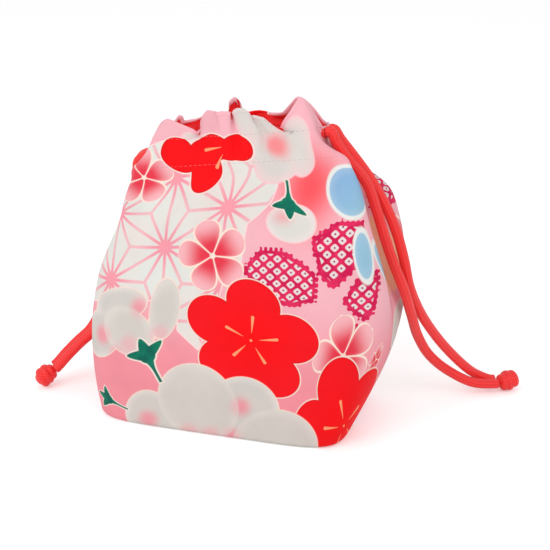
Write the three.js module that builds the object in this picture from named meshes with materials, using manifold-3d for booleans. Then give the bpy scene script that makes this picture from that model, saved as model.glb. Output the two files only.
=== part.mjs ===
// A lined drawstring bag of printed cloth with a boxed base, two cords and four knotted cord ends.
// Millimetres, +Z up, the front faces -Y, and the origin is the middle of the base on the ground.
import * as THREE from "three";
import { mergeVertices } from "three/addons/utils/BufferGeometryUtils.js";
import Module from "manifold-3d";

const wasm = await Module();
wasm.setup();

// Cloth, cord and clearance
const CLOTH = 1.2;
const LINING = 0.8;
const GAP = 0.3;
const CORD = 6;

// Plan of the bag at six heights, with the lean of each plan to the right and to the back
const BASE_WIDTH = 150;
const BASE_DEPTH = 86;
const BASE_EDGE = 3;
const HIP_HEIGHT = 40;
const HIP_WIDTH = 174;
const HIP_DEPTH = 94;
const HIP_LEAN = 5;
const HIP_SHIFT = 1;
const BELLY_HEIGHT = 85;
const BELLY_WIDTH = 180;
const BELLY_DEPTH = 89;
const BELLY_LEAN = 11;
const BELLY_SHIFT = 4;
const SHOULDER_HEIGHT = 125;
const SHOULDER_WIDTH = 156;
const SHOULDER_DEPTH = 75;
const SHOULDER_LEAN = 13;
const SHOULDER_SHIFT = 7;
const SHOULDER_SKEW = 3;
const COLLAR_HEIGHT = 147;
const COLLAR_WIDTH = 153;
const COLLAR_DEPTH = 44;
const COLLAR_LEAN = 4;
const COLLAR_SHIFT = 4;
const COLLAR_SKEW = -6;
const NECK_WIDTH = 128;
const NECK_DEPTH = 40;
const NECK_LEAN = 5;
const NECK_SHIFT = 2;
const BASE_SQUARENESS = 6;
const SQUARENESS = 4.2;
const COLLAR_SQUARENESS = 4.4;

// The gathered mouth: line of the cords in plan, channel for the cords, and rim
const MOUTH_LENGTH = 88;
const MOUTH_GAP = 19;
const MOUTH_LEAN = 4;
const MOUTH_SHIFT = 2;
const MOUTH_SQUARENESS = 2.4;
const COLLAR_TO_CHANNEL = 16;
const CHANNEL_HEIGHT = COLLAR_HEIGHT + COLLAR_TO_CHANNEL;
const CORD_SPACING = CORD + GAP;
const HEADING = 13;
const HEM = 2;
const RIM_FLARE = 1;
const RIM_DRAW = 0.1;
const RISE_PER_MM = 0.13;

// Side folds: each side panel is drawn inwards above the hip
const SIDE_FOLD = 26;
const SIDE_FOLD_WIDTH = 0.042;
const CORNER_PULL = 0.05;
const SEAM_WIDTH = 0.05;

// The two front ridges, beside the side folds, run on to the rim
const FRONT_RIDGES = [0.075, 0.42];
const FRONT_RIDGE_WIDTH = 0.04;
const FRONT_RIDGE_RISE = 20;

// Valleys between the pleats, as fractions of the way round from the left seam by the front
const PLEAT_RIDGE = 2.5;
const DEEP_VALLEY = 7;
const BACK_VALLEY = 4;
const SMALL_VALLEY = 2.5;
const VALLEYS = [
  { at: 0.215, depth: DEEP_VALLEY, width: 0.02 },
  { at: 0.278, depth: SMALL_VALLEY, width: 0.014 },
  { at: 0.325, depth: SMALL_VALLEY, width: 0.014 },
  { at: 0.358, depth: DEEP_VALLEY, width: 0.02 },
  { at: 0.635, depth: BACK_VALLEY, width: 0.02 },
  { at: 0.69, depth: BACK_VALLEY, width: 0.02 },
  { at: 0.745, depth: BACK_VALLEY, width: 0.02 },
  { at: 0.8, depth: BACK_VALLEY, width: 0.02 },
  { at: 0.855, depth: BACK_VALLEY, width: 0.02 },
];

// Height of the rim above or below its line
const RIM_DIP = 8;
const RIM_NOTCH = 10;
const RIM_PEAK = 8;
const RIM_SHAPE = [
  { at: 0, up: -RIM_DIP / 2, width: 0.08 },
  { at: 0.215, up: -RIM_DIP, width: 0.02 },
  { at: 0.358, up: -RIM_NOTCH, width: 0.018 },
  { at: 0.41, up: RIM_PEAK, width: 0.024 },
  { at: 0.5, up: -RIM_DIP, width: 0.05 },
  { at: 0.74, up: -RIM_DIP, width: 0.16 },
  { at: 0.765, up: RIM_PEAK, width: 0.012 },
];

// Steps round the bag and along its outlines, and sides of the round pieces
const AROUND = 80;
const OUTLINE_STEPS = 720;
const CORD_SIDES = 8;
const KNOT_SIDES = 14;

// Stitches: thickness, width of a row, and how far the rows lie outside the channel
const STITCH = 0.5;
const STITCH_ROW = 1;
const LOW_ROW_DROP = 1.5;
const HIGH_ROW_RISE = 0.6;

// Opening for the cords in the side seam, a little low because the cords hang over its lower edge
const SLOT_LENGTH = 4 * CORD;
const SLOT_WIDTH = 2 * CORD + 4 * GAP;
const SLOT_HEIGHT = CORD + 7 * GAP;
const SLOT_DROP = 0.8;

function smooth(value, low, high) {
  const part = THREE.MathUtils.clamp((value - low) / (high - low), 0, 1);
  return part * part * (3 - 2 * part);
}

function lerp(a, b, part) {
  return a + (b - a) * part;
}

// Distance round the bag between two fractions, never more than a half
function apart(a, b) {
  return Math.abs(((a - b + 1.5) % 1) - 0.5);
}

function bump(a, b, width) {
  return Math.exp(-((apart(a, b) / width) ** 2));
}

const STATIONS = [
  [0, BASE_WIDTH / 2, BASE_DEPTH / 2, 0, 0, 0],
  [HIP_HEIGHT, HIP_WIDTH / 2, HIP_DEPTH / 2, HIP_LEAN, HIP_SHIFT, 0],
  [BELLY_HEIGHT, BELLY_WIDTH / 2, BELLY_DEPTH / 2, BELLY_LEAN, BELLY_SHIFT, 0],
  [SHOULDER_HEIGHT, SHOULDER_WIDTH / 2, SHOULDER_DEPTH / 2, SHOULDER_LEAN, SHOULDER_SHIFT, SHOULDER_SKEW],
  [COLLAR_HEIGHT, COLLAR_WIDTH / 2, COLLAR_DEPTH / 2, COLLAR_LEAN, COLLAR_SHIFT, COLLAR_SKEW],
  [CHANNEL_HEIGHT, NECK_WIDTH / 2, NECK_DEPTH / 2, NECK_LEAN, NECK_SHIFT, 0],
];

// Half width, half depth, lean, shift and skew at a height, by a smooth curve through the stations
function planAt(height) {
  const last = STATIONS.length - 1;
  let k = 0;
  while (k < last - 1 && height > STATIONS[k + 1][0]) {
    k += 1;
  }
  const [p0, p1, p2, p3] = [k - 1, k, k + 1, k + 2].map((i) => STATIONS[THREE.MathUtils.clamp(i, 0, last)]);
  const step = p2[0] - p1[0];
  const q = THREE.MathUtils.clamp((height - p1[0]) / step, 0, 1);
  const value = (c) => {
    const slope1 = k === 0 ? (p2[c] - p1[c]) / step : (p2[c] - p0[c]) / (p2[0] - p0[0]);
    const slope2 = k === last - 1 ? (p2[c] - p1[c]) / step : (p3[c] - p1[c]) / (p3[0] - p1[0]);
    const rise = q * q * (3 - 2 * q);
    return lerp(p1[c], p2[c], rise) + step * q * (1 - q) * (slope1 * (1 - q) - slope2 * q);
  };
  return { halfWidth: value(1), halfDepth: value(2), lean: value(3), shift: value(4), skew: value(5) };
}

// Points of a rounded box outline at given fractions of its length, from the left seam by the front
function ovalPoints(halfWidth, halfDepth, power, fractions) {
  const outline = [];
  const lengths = [0];
  for (let i = 0; i <= OUTLINE_STEPS; i += 1) {
    const angle = Math.PI + (2 * Math.PI * i) / OUTLINE_STEPS;
    const c = Math.cos(angle);
    const s = Math.sin(angle);
    const x = halfWidth * Math.sign(c) * Math.abs(c) ** (2 / power);
    const y = halfDepth * Math.sign(s) * Math.abs(s) ** (2 / power);
    outline.push(new THREE.Vector2(x, y));
    if (i > 0) {
      lengths.push(lengths[i - 1] + outline[i].distanceTo(outline[i - 1]));
    }
  }
  return fractions.map((fraction) => {
    const goal = fraction * lengths[OUTLINE_STEPS];
    let low = 0;
    let high = OUTLINE_STEPS;
    while (high - low > 1) {
      const middle = (low + high) >> 1;
      if (lengths[middle] > goal) {
        high = middle;
      } else {
        low = middle;
      }
    }
    const part = (goal - lengths[low]) / (lengths[high] - lengths[low] || 1);
    return outline[low].clone().lerp(outline[high], part);
  });
}

// Outward normals of a closed ring of plan points
function normalsOf(ring) {
  return ring.map((_, i) => {
    const before = ring[(i + ring.length - 1) % ring.length];
    const after = ring[(i + 1) % ring.length];
    return new THREE.Vector2(after.y - before.y, before.x - after.x).normalize();
  });
}

// A ring moved outwards by a distance for each point
function offset(ring, distanceOf) {
  const normals = normalsOf(ring);
  return ring.map((point, i) => point.clone().addScaledVector(normals[i], distanceOf(i)));
}

const ROUND = Array.from({ length: AROUND }, (_, i) => i / AROUND);

// Centre line of the cords in plan
function cordLine(fractions) {
  const drawn = fractions.map((u) => u - CORNER_PULL * Math.sin(4 * Math.PI * u));
  const centre = new THREE.Vector2(MOUTH_LEAN, MOUTH_SHIFT);
  const line = ovalPoints(MOUTH_LENGTH / 2, MOUTH_GAP / 2, MOUTH_SQUARENESS, drawn);
  return line.map((point) => point.add(centre));
}

const CORD_LINE = cordLine(ROUND);
const CHANNEL_BOTTOM = CHANNEL_HEIGHT - CORD_SPACING - GAP;
const CHANNEL_TOP = CHANNEL_HEIGHT + CORD_SPACING + GAP;
const RIM_HEIGHT = CHANNEL_TOP + HEADING;
const CLOTH_TO_CORD = CORD / 2 + GAP;

function pleatAt(u, height) {
  const open = smooth(height, CHANNEL_TOP, RIM_HEIGHT);
  let out = PLEAT_RIDGE + RIM_FLARE * open;
  for (const valley of VALLEYS) {
    const depth = lerp(Math.min(valley.depth, PLEAT_RIDGE), valley.depth, open);
    out -= depth * bump(u, valley.at, valley.width);
  }
  return out;
}

// Outer face of the cloth in plan at a height
function clothRing(height) {
  const plan = planAt(height);
  const edge = BASE_EDGE * (1 - Math.sqrt(1 - (1 - Math.min(height / BASE_EDGE, 1)) ** 2));
  const drawnIn = smooth(height, HIP_HEIGHT, COLLAR_HEIGHT);
  const fold = SIDE_FOLD * drawnIn * (1 - smooth(height, COLLAR_HEIGHT, CHANNEL_BOTTOM));
  const skew = plan.skew / plan.halfDepth;
  const low = lerp(BASE_SQUARENESS, SQUARENESS, smooth(height, 0, HIP_HEIGHT));
  const power = lerp(low, COLLAR_SQUARENESS, smooth(height, BELLY_HEIGHT, COLLAR_HEIGHT));
  const box = ovalPoints(plan.halfWidth - edge, plan.halfDepth - edge, power, ROUND);
  const body = box.map((point, i) => {
    const inwards = fold * (bump(ROUND[i], 0, SIDE_FOLD_WIDTH) - bump(ROUND[i], 0.5, SIDE_FOLD_WIDTH));
    return new THREE.Vector2(point.x + inwards + plan.lean + skew * point.y, point.y + plan.shift);
  });
  const out = (i) => CLOTH_TO_CORD + CLOTH + pleatAt(ROUND[i], height);
  const neck = offset(CORD_LINE, out);
  const draw = 1 - RIM_DRAW * smooth(height, CHANNEL_TOP, RIM_HEIGHT);
  return body.map((point, i) => {
    const seam = Math.min(bump(ROUND[i], 0, SEAM_WIDTH) + bump(ROUND[i], 0.5, SEAM_WIDTH), 1);
    const ridge = FRONT_RIDGES.reduce((sum, at) => sum + bump(ROUND[i], at, FRONT_RIDGE_WIDTH), 0);
    const end = lerp(CHANNEL_TOP, CHANNEL_BOTTOM, seam) + FRONT_RIDGE_RISE * ridge * (1 - seam);
    point.lerp(neck[i], smooth(height, COLLAR_HEIGHT, end));
    point.x = MOUTH_LEAN + (point.x - MOUTH_LEAN) * draw;
    return point;
  });
}

// Height above the ground of a point of the cloth: the right side stands higher, and the rim waves
function heightAt(point, u, height) {
  const slope = RISE_PER_MM * (point.x - MOUTH_LEAN) * smooth(height, BELLY_HEIGHT, CHANNEL_BOTTOM);
  const wave = RIM_SHAPE.reduce((sum, part) => sum + part.up * bump(u, part.at, part.width), 0);
  return height + slope + wave * smooth(height, CHANNEL_TOP, RIM_HEIGHT);
}

// Plan points lifted to their height on the bag
function lift(ring, height) {
  return ring.map((point, i) => new THREE.Vector3(point.x, point.y, heightAt(point, ROUND[i], height)));
}

function clothFace(height, inwards) {
  return lift(offset(clothRing(height), () => -inwards), height);
}

// The lining follows the cloth, and runs inside the cords where the channel is
function liningFace(height, inwards) {
  const cloth = offset(clothRing(height), () => -(CLOTH + GAP + inwards));
  const channel = offset(CORD_LINE, () => -(CLOTH_TO_CORD + inwards));
  const opened = smooth(height, CHANNEL_BOTTOM - CORD, CHANNEL_BOTTOM - GAP);
  const closed = smooth(height, CHANNEL_TOP + GAP, CHANNEL_TOP + CORD);
  const part = opened * (1 - closed);
  return lift(cloth.map((point, i) => point.lerp(channel[i], part)), height);
}

const LEFT_SEAM = 0;
const RIGHT_SEAM = AROUND / 2;

// One half of each face, from seam to seam, drawn back from the seams by half their gap
function halfOf(face, first) {
  const half = [];
  for (let i = first; i <= first + AROUND / 2; i += 1) {
    half.push(face[i % AROUND].clone());
  }
  const last = half.length - 1;
  const start = half[0].clone().sub(half[1]).setLength(GAP / 2);
  const end = half[last].clone().sub(half[last - 1]).setLength(GAP / 2);
  half[0].sub(start);
  half[last].sub(end);
  return half;
}

// A closed solid between an outer and an inner stack of rows that run the same way
function solidBetween(outer, inner) {
  const rows = outer.length;
  const columns = outer[0].length;
  const points = [...outer.flat(), ...inner.flat()];
  const faces = [];
  const outside = (row, column) => row * columns + column;
  const inside = (row, column) => rows * columns + outside(row, column);
  const quad = (a, b, c, d) => faces.push(a, b, c, a, c, d);
  for (let row = 0; row + 1 < rows; row += 1) {
    for (let k = 0; k + 1 < columns; k += 1) {
      quad(outside(row, k), outside(row, k + 1), outside(row + 1, k + 1), outside(row + 1, k));
      quad(inside(row, k), inside(row + 1, k), inside(row + 1, k + 1), inside(row, k + 1));
    }
    quad(inside(row, 0), outside(row, 0), outside(row + 1, 0), inside(row + 1, 0));
    const end = columns - 1;
    quad(outside(row, end), inside(row, end), inside(row + 1, end), outside(row + 1, end));
  }
  const top = rows - 1;
  for (let k = 0; k + 1 < columns; k += 1) {
    quad(inside(0, k + 1), outside(0, k + 1), outside(0, k), inside(0, k));
    quad(outside(top, k), outside(top, k + 1), inside(top, k + 1), inside(top, k));
  }
  const geometry = new THREE.BufferGeometry().setFromPoints(points);
  geometry.setIndex(faces);
  return geometry;
}

// A half of a skin whose outer and inner faces come from one function of height and depth
function halfSkin(face, heights, thickness, first) {
  const outer = heights.map((height) => halfOf(face(height, 0), first));
  const inner = heights.map((height) => halfOf(face(height, thickness), first));
  return solidBetween(outer, inner);
}

function toManifold(geometry) {
  const bare = geometry.clone();
  bare.deleteAttribute("normal");
  bare.deleteAttribute("uv");
  const merged = mergeVertices(bare, 1e-4);
  const vertProperties = new Float32Array(merged.attributes.position.array);
  const triVerts = new Uint32Array(merged.index.array);
  return new wasm.Manifold(new wasm.Mesh({ numProp: 3, vertProperties, triVerts }));
}

function toGeometry(manifold) {
  const mesh = manifold.getMesh();
  const geometry = new THREE.BufferGeometry();
  geometry.setAttribute("position", new THREE.BufferAttribute(mesh.vertProperties, 3));
  geometry.setIndex(new THREE.BufferAttribute(mesh.triVerts, 1));
  return geometry;
}

function cut(geometry, tools) {
  return toGeometry(tools.reduce((left, tool) => left.subtract(toManifold(tool)), toManifold(geometry)));
}

function named(name, geometry, material) {
  const mesh = new THREE.Mesh(geometry, material);
  mesh.name = name;
  return mesh;
}

const printedCloth = new THREE.MeshStandardMaterial({ color: 0xf7a9b4, roughness: 0.6, metalness: 0 });
const baseCloth = new THREE.MeshStandardMaterial({ color: 0xf3b6bd, roughness: 0.6, metalness: 0 });
const redLining = new THREE.MeshStandardMaterial({ color: 0xd9302f, roughness: 0.7, metalness: 0 });
const redCord = new THREE.MeshStandardMaterial({ color: 0xee3b3a, roughness: 0.6, metalness: 0 });
const thread = new THREE.MeshStandardMaterial({ color: 0xf2c4c8, roughness: 0.7, metalness: 0 });

// Ends of the mouth, where the cords leave the channel
const RIGHT_END = MOUTH_LEAN + MOUTH_LENGTH / 2;
const LEFT_END = MOUTH_LEAN - MOUTH_LENGTH / 2;
const RIGHT_CORD_HEIGHT = CHANNEL_HEIGHT + CORD_SPACING / 2;
const LEFT_CORD_HEIGHT = CHANNEL_HEIGHT - CORD_SPACING / 2;
const TO_EXIT = CLOTH_TO_CORD + CLOTH + PLEAT_RIDGE;

function liftPoint(x, y, height) {
  const point = new THREE.Vector2(x, y);
  return new THREE.Vector3(x, y, heightAt(point, x < MOUTH_LEAN ? 0 : 0.5, height));
}

// The opening in the side seam that the two ends of a cord leave by
function exitSlot(side) {
  const height = side > 0 ? RIGHT_CORD_HEIGHT : LEFT_CORD_HEIGHT;
  const end = side > 0 ? RIGHT_END : LEFT_END;
  const centre = liftPoint(end + side * CORD, MOUTH_SHIFT, height);
  const slot = new THREE.BoxGeometry(SLOT_LENGTH, SLOT_WIDTH, SLOT_HEIGHT);
  const tilt = Math.atan(RISE_PER_MM);
  return slot.rotateY(-tilt).translate(centre.x, centre.y, centre.z - SLOT_DROP);
}

// Heights of the rows that the cloth and the lining share, so that neither skin crosses the other
const ROWS = [
  HIP_HEIGHT / 2, HIP_HEIGHT, lerp(HIP_HEIGHT, BELLY_HEIGHT, 0.5), BELLY_HEIGHT,
  lerp(BELLY_HEIGHT, SHOULDER_HEIGHT, 0.5), SHOULDER_HEIGHT, lerp(SHOULDER_HEIGHT, COLLAR_HEIGHT, 0.6),
  COLLAR_HEIGHT, lerp(COLLAR_HEIGHT, CHANNEL_BOTTOM, 0.5), CHANNEL_BOTTOM - GAP, CHANNEL_TOP + GAP,
  CHANNEL_TOP + CORD, RIM_HEIGHT - HEM,
];

// Outer cloth: two halves joined at the side seams, with the slots for the cords
function outerHalf(first) {
  const heights = [0, BASE_EDGE * 0.3, BASE_EDGE, ...ROWS];
  return cut(halfSkin(clothFace, heights, CLOTH, first), [exitSlot(1), exitSlot(-1)]);
}

function plate(inwards, low, thickness) {
  const outline = offset(clothRing(0), () => -inwards);
  const shape = new THREE.Shape(outline);
  return new THREE.ExtrudeGeometry(shape, { depth: thickness, bevelEnabled: false }).translate(0, 0, low);
}

// Lining: the same three pieces inside the cloth
function liningHalf(first) {
  const foot = CLOTH + GAP + LINING + GAP;
  return halfSkin(liningFace, [foot, foot + BASE_EDGE / 2, ...ROWS], LINING, first);
}

// Turned edge of the mouth, over the cloth and the lining
function hem(first) {
  const face = (up, inwards) => {
    const edge = clothFace(RIM_HEIGHT - HEM, inwards);
    return edge.map((point) => point.setZ(point.z + up));
  };
  return halfSkin(face, [2 * GAP, HEM], CLOTH + GAP + LINING, first);
}

// A row of stitches along the channel, raised on the cloth
function stitchRow(height, first) {
  const face = (up, inwards) => clothFace(up, inwards - GAP - STITCH);
  return halfSkin(face, [height - STITCH_ROW / 2, height + STITCH_ROW / 2], STITCH, first);
}

// A round cord along points, with flat ends
function cordAlong(points, steps) {
  const corners = Array.from({ length: CORD_SIDES }, (_, k) => {
    const angle = (2 * Math.PI * (k + 0.5)) / CORD_SIDES;
    return new THREE.Vector2((CORD / 2) * Math.cos(angle), (CORD / 2) * Math.sin(angle));
  });
  const section = new THREE.Shape(corners);
  const path = new THREE.CatmullRomCurve3(points, false, "centripetal");
  return new THREE.ExtrudeGeometry(section, { steps, extrudePath: path, bevelEnabled: false });
}

// A cord inside the channel: in by the front half of its slot, once round, and out by the back half
const LOOP_POINTS = 60;
const LOOP_STEPS = 64;
const LOOP_TURN = 0.09;

function cordLoop(side) {
  const height = side > 0 ? RIGHT_CORD_HEIGHT : LEFT_CORD_HEIGHT;
  const end = side > 0 ? RIGHT_END : LEFT_END;
  const start = side > 0 ? 0.5 : 1;
  const fractions = Array.from({ length: LOOP_POINTS + 1 }, (_, k) => {
    const along = LOOP_TURN + (1 - 2 * LOOP_TURN) * (k / LOOP_POINTS);
    return (start + (side > 0 ? -along : along) + 1) % 1;
  });
  const round = cordLine(fractions).map((point) => liftPoint(point.x, point.y, height));
  const leave = (toBack) => [CLOTH_TO_CORD, TO_EXIT].map((out) => {
    const y = MOUTH_SHIFT + toBack * (CORD_SPACING / 2);
    return liftPoint(end + side * out, y, height);
  });
  const points = [...leave(-1).reverse(), ...round, ...leave(1)];
  return cordAlong(points, LOOP_STEPS);
}

// Free ends of the cords: points chosen by hand, from the slot to the knot
const FREE_ENDS = {
  right_front: { side: 1, toBack: -1, steps: 22, points: [
    [61.2, -0.5, 167], [67.5, 1, 157.8], [77.5, 3, 145], [83.5, 3.2, 130], [88.8, 3.5, 114],
    [94.2, 4, 99], [99.8, 8, 83], [103, 18, 64], [105, 31, 46], [110.8, 41, 30], [121.5, 50, 17],
    [136.5, 56.5, 8],
  ] },
  right_back: { side: 1, toBack: 1, steps: 22, points: [
    [61.5, 5.8, 168], [68.8, 7.5, 158.5], [78.2, 9.6, 145.5], [87.2, 11, 130], [94, 12, 114],
    [98.4, 12.5, 99], [101.2, 16, 83], [105.6, 26, 65], [112.2, 37, 48], [120.6, 48, 32],
    [131.5, 58, 17], [138, 64.5, 10],
  ] },
  left_front: { side: -1, toBack: -1, steps: 20, points: [
    [-56.7, -0.9, 147.8], [-57, 0, 136], [-58, 1, 122], [-62.5, 1.5, 108], [-69.5, 2, 93],
    [-76, 2, 79], [-82, 3, 65], [-86, 4.5, 54], [-90, 4.6, 43.5], [-95.1, 2.9, 34.2],
    [-101.6, -1.5, 27.6], [-108.2, -5.9, 20.2],
  ] },
  left_back: { side: -1, toBack: 1, steps: 20, points: [
    [-57.3, 5.8, 149], [-57.8, 7.5, 136], [-59.2, 9.2, 122], [-64, 9.5, 108], [-72, 9.5, 93],
    [-78.5, 9.8, 80], [-84, 10.6, 67], [-88.5, 11.5, 55], [-93.5, 11, 43.5], [-98.7, 8.3, 34.2],
    [-105.2, 3.9, 27.6], [-111.8, -0.5, 20.2],
  ] },
};
const KNOTS = {
  knot_right: { centre: [156.5, 69.5, 6.4], turn: 28, tilt: 0 },
  knot_left: { centre: [-121.5, -11, 7.8], turn: 214, tilt: 38 },
};

// A knot as a turned shape of radius and place along it, with a short straight lead of cord before it
const KNOT_HALF = 7.5;
const KNOT_LEAD = 2.2;
const KNOT_PROFILE = [
  [0, -KNOT_HALF], [5.6, -7.3], [6.3, -5.2], [5.5, -2.2], [6.3, 0.4], [5.7, 2.8], [5.9, 5], [3.6, 7.2],
  [0, KNOT_HALF],
];

// Where a strand meets the knot, in pairs side by side
function knotFace(knot, sideways) {
  const turn = THREE.MathUtils.degToRad(knot.turn);
  const tilt = THREE.MathUtils.degToRad(knot.tilt);
  const level = Math.cos(tilt);
  const along = new THREE.Vector3(level * Math.cos(turn), level * Math.sin(turn), -Math.sin(tilt));
  const across = new THREE.Vector3(-Math.sin(turn), Math.cos(turn), 0);
  const face = new THREE.Vector3(...knot.centre).addScaledVector(across, sideways * (CORD_SPACING / 2));
  const near = KNOT_HALF + GAP;
  return [near + KNOT_LEAD, near].map((back) => face.clone().addScaledVector(along, -back));
}

function freeEnd(name) {
  const { side, toBack, steps, points } = FREE_ENDS[name];
  const height = side > 0 ? RIGHT_CORD_HEIGHT : LEFT_CORD_HEIGHT;
  const end = side > 0 ? RIGHT_END : LEFT_END;
  const y = MOUTH_SHIFT + toBack * (CORD_SPACING / 2);
  const start = [GAP, CORD / 2].map((out) => liftPoint(end + side * (TO_EXIT + out), y, height));
  const knot = side > 0 ? KNOTS.knot_right : KNOTS.knot_left;
  const finish = knotFace(knot, side * toBack);
  return cordAlong([...start, ...points.map((point) => new THREE.Vector3(...point)), ...finish], steps);
}

function knotSolid(name) {
  const profile = KNOT_PROFILE.map(([radius, along]) => new THREE.Vector2(radius, along));
  const solid = new THREE.LatheGeometry(profile, KNOT_SIDES).rotateZ(-Math.PI / 2);
  solid.rotateY(THREE.MathUtils.degToRad(KNOTS[name].tilt));
  return solid.rotateZ(THREE.MathUtils.degToRad(KNOTS[name].turn)).translate(...KNOTS[name].centre);
}

const bag = new THREE.Group();
bag.add(named("outer_front", outerHalf(LEFT_SEAM), printedCloth));
bag.add(named("outer_back", outerHalf(RIGHT_SEAM), printedCloth));
bag.add(named("outer_base", plate(CLOTH + GAP, 0, CLOTH), baseCloth));
bag.add(named("lining_front", liningHalf(LEFT_SEAM), redLining));
bag.add(named("lining_back", liningHalf(RIGHT_SEAM), redLining));
bag.add(named("lining_base", plate(CLOTH + GAP, CLOTH + GAP, LINING), redLining));
bag.add(named("hem_front", hem(LEFT_SEAM), printedCloth));
bag.add(named("hem_back", hem(RIGHT_SEAM), printedCloth));
bag.add(named("stitches_front_low", stitchRow(CHANNEL_BOTTOM - LOW_ROW_DROP, LEFT_SEAM), thread));
bag.add(named("stitches_back_low", stitchRow(CHANNEL_BOTTOM - LOW_ROW_DROP, RIGHT_SEAM), thread));
bag.add(named("stitches_front_high", stitchRow(CHANNEL_TOP + HIGH_ROW_RISE, LEFT_SEAM), thread));
bag.add(named("stitches_back_high", stitchRow(CHANNEL_TOP + HIGH_ROW_RISE, RIGHT_SEAM), thread));
bag.add(named("cord_right_loop", cordLoop(1), redCord));
bag.add(named("cord_left_loop", cordLoop(-1), redCord));

// The bag without its free cord ends stands with the middle of its box at the origin
bag.updateMatrixWorld(true);
const box = new THREE.Box3().setFromObject(bag);
const middle = box.getCenter(new THREE.Vector3());

for (const name of Object.keys(FREE_ENDS)) {
  bag.add(named(`cord_${name}`, freeEnd(name), redCord));
}
for (const name of Object.keys(KNOTS)) {
  bag.add(named(name, knotSolid(name), redCord));
}
bag.position.set(-middle.x, -middle.y, -box.min.z);

export default bag;
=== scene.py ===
# %% [markdown]
# # A lined drawstring bag in printed cloth
#
# The bag is a sewn shell of printed cloth over a red lining, gathered by two round cords that run in
# a channel under its rim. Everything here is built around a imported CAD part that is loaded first, so
# each surface is computed in the CAD part's own frame and measures.

# %% The frame, and the size it has before anything is added
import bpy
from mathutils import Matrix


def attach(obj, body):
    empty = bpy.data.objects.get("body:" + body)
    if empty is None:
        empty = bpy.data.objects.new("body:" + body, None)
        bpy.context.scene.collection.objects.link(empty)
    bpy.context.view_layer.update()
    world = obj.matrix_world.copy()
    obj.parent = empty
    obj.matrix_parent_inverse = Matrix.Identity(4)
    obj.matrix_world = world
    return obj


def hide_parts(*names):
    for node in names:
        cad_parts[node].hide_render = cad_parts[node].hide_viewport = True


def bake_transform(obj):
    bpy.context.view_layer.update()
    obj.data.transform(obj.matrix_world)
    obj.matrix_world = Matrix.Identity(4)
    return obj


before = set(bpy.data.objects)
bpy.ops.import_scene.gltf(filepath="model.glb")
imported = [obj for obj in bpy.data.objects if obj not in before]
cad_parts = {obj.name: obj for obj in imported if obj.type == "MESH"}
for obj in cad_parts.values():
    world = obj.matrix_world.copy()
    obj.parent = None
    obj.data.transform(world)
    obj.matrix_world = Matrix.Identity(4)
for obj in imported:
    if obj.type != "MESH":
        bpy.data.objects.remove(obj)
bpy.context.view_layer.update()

import math

import bpy
import numpy as np
from mathutils import Matrix, Vector

# %% [markdown]
# ## Measures
#
# Cloth is easiest to think about in millimetres, so every size below is in millimetres and one
# function turns finished points into metres in the frame. The bag was drawn around the middle of
# its base, while the frame's origin lies under the middle of the box round the bag without its free
# cords, so that function also moves them.

# %% Sizes of the bag in millimetres
CORD = 6.0  # thickness of a cord
GAP = 0.3  # between pieces that lie on each other
CLOTH = 1.2  # thickness of the printed cloth
STATIONS = np.array([
    # height, half width, half depth, lean right, shift back, skew
    [0, 75, 43, 0, 0, 0],
    [40, 87, 47, 5, 1, 0],
    [85, 90, 44.5, 11, 4, 0],
    [125, 78, 37.5, 13, 7, 3],
    [147, 76.5, 22, 4, 4, -6],
    [163, 64, 20, 5, 2, 0],
], float)
BASE_EDGE = 3.0  # radius where the wall leaves the base
HIP, BELLY, _, COLLAR, CHANNEL = STATIONS[1:, 0]
MOUTH = np.array([4.0, 2.0])  # middle of the oval of the cords
MOUTH_HALF = np.array([44.0, 9.5])  # its half width and half depth
SPACING = CORD + GAP  # from the middle of one cord to the other's
CHANNEL_BOTTOM = CHANNEL - SPACING - GAP
CHANNEL_TOP = CHANNEL + SPACING + GAP
RIM = CHANNEL_TOP + 13.0
TO_CORD = CORD / 2 + GAP  # from the middle of a cord to the cloth beside it
RIDGE = 2.5  # how far a pleat stands off the cords
RISE = 0.13  # slope of the mouth, up to the right
FRAME_SHIFT = np.array([7.488, 1.423, 0.0])  # middle of that box, in the drawing's millimetres


def metres(points):
    """Frame metres of points in millimetres: (points - shift) / 1000."""
    return (np.asarray(points, float) - FRAME_SHIFT) / 1000


# %% [markdown]
# ## The camera
#
# The photograph looks at the bag from a little to the right and from above, from about 70 cm, which
# shows in how the base narrows to the back. The camera comes first, because everything that follows
# is judged through it. Its lens follows from how many pixels a millimetre of the bag takes at that
# distance, and it aims at a point to the right of and above the middle of the base.

# %% Camera
AZIMUTH, ELEVATION = math.radians(17.05), math.radians(20)
BACK = np.array([math.sin(AZIMUTH) * math.cos(ELEVATION), -math.cos(AZIMUTH) * math.cos(ELEVATION),
                 math.sin(ELEVATION)])
RIGHT = np.array([math.cos(AZIMUTH), math.sin(AZIMUTH), 0])
UP = np.cross(BACK, RIGHT)
DISTANCE = 700.0
SENSOR = 36  # width of the film, in millimetres
PICTURE_SIDE = 550  # in pixels
PIXELS_PER_MM = 1.64
AIM_RIGHT, AIM_UP = 24.65, 78.72
LENS = SENSOR * PIXELS_PER_MM * DISTANCE / PICTURE_SIDE

camera = bpy.data.objects.new("camera", bpy.data.cameras.new("camera"))
bpy.context.scene.collection.objects.link(camera)
camera.location = metres(BACK * DISTANCE + RIGHT * AIM_RIGHT + UP * AIM_UP)
camera.rotation_euler = Matrix(np.stack([RIGHT, UP, BACK], 1).tolist()).to_euler()
camera.data.sensor_width = SENSOR
camera.data.lens = LENS
camera.data.clip_start, camera.data.clip_end = 0.01, 20
bpy.context.scene.camera = camera
print("lens", round(LENS, 1), "mm")
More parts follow.
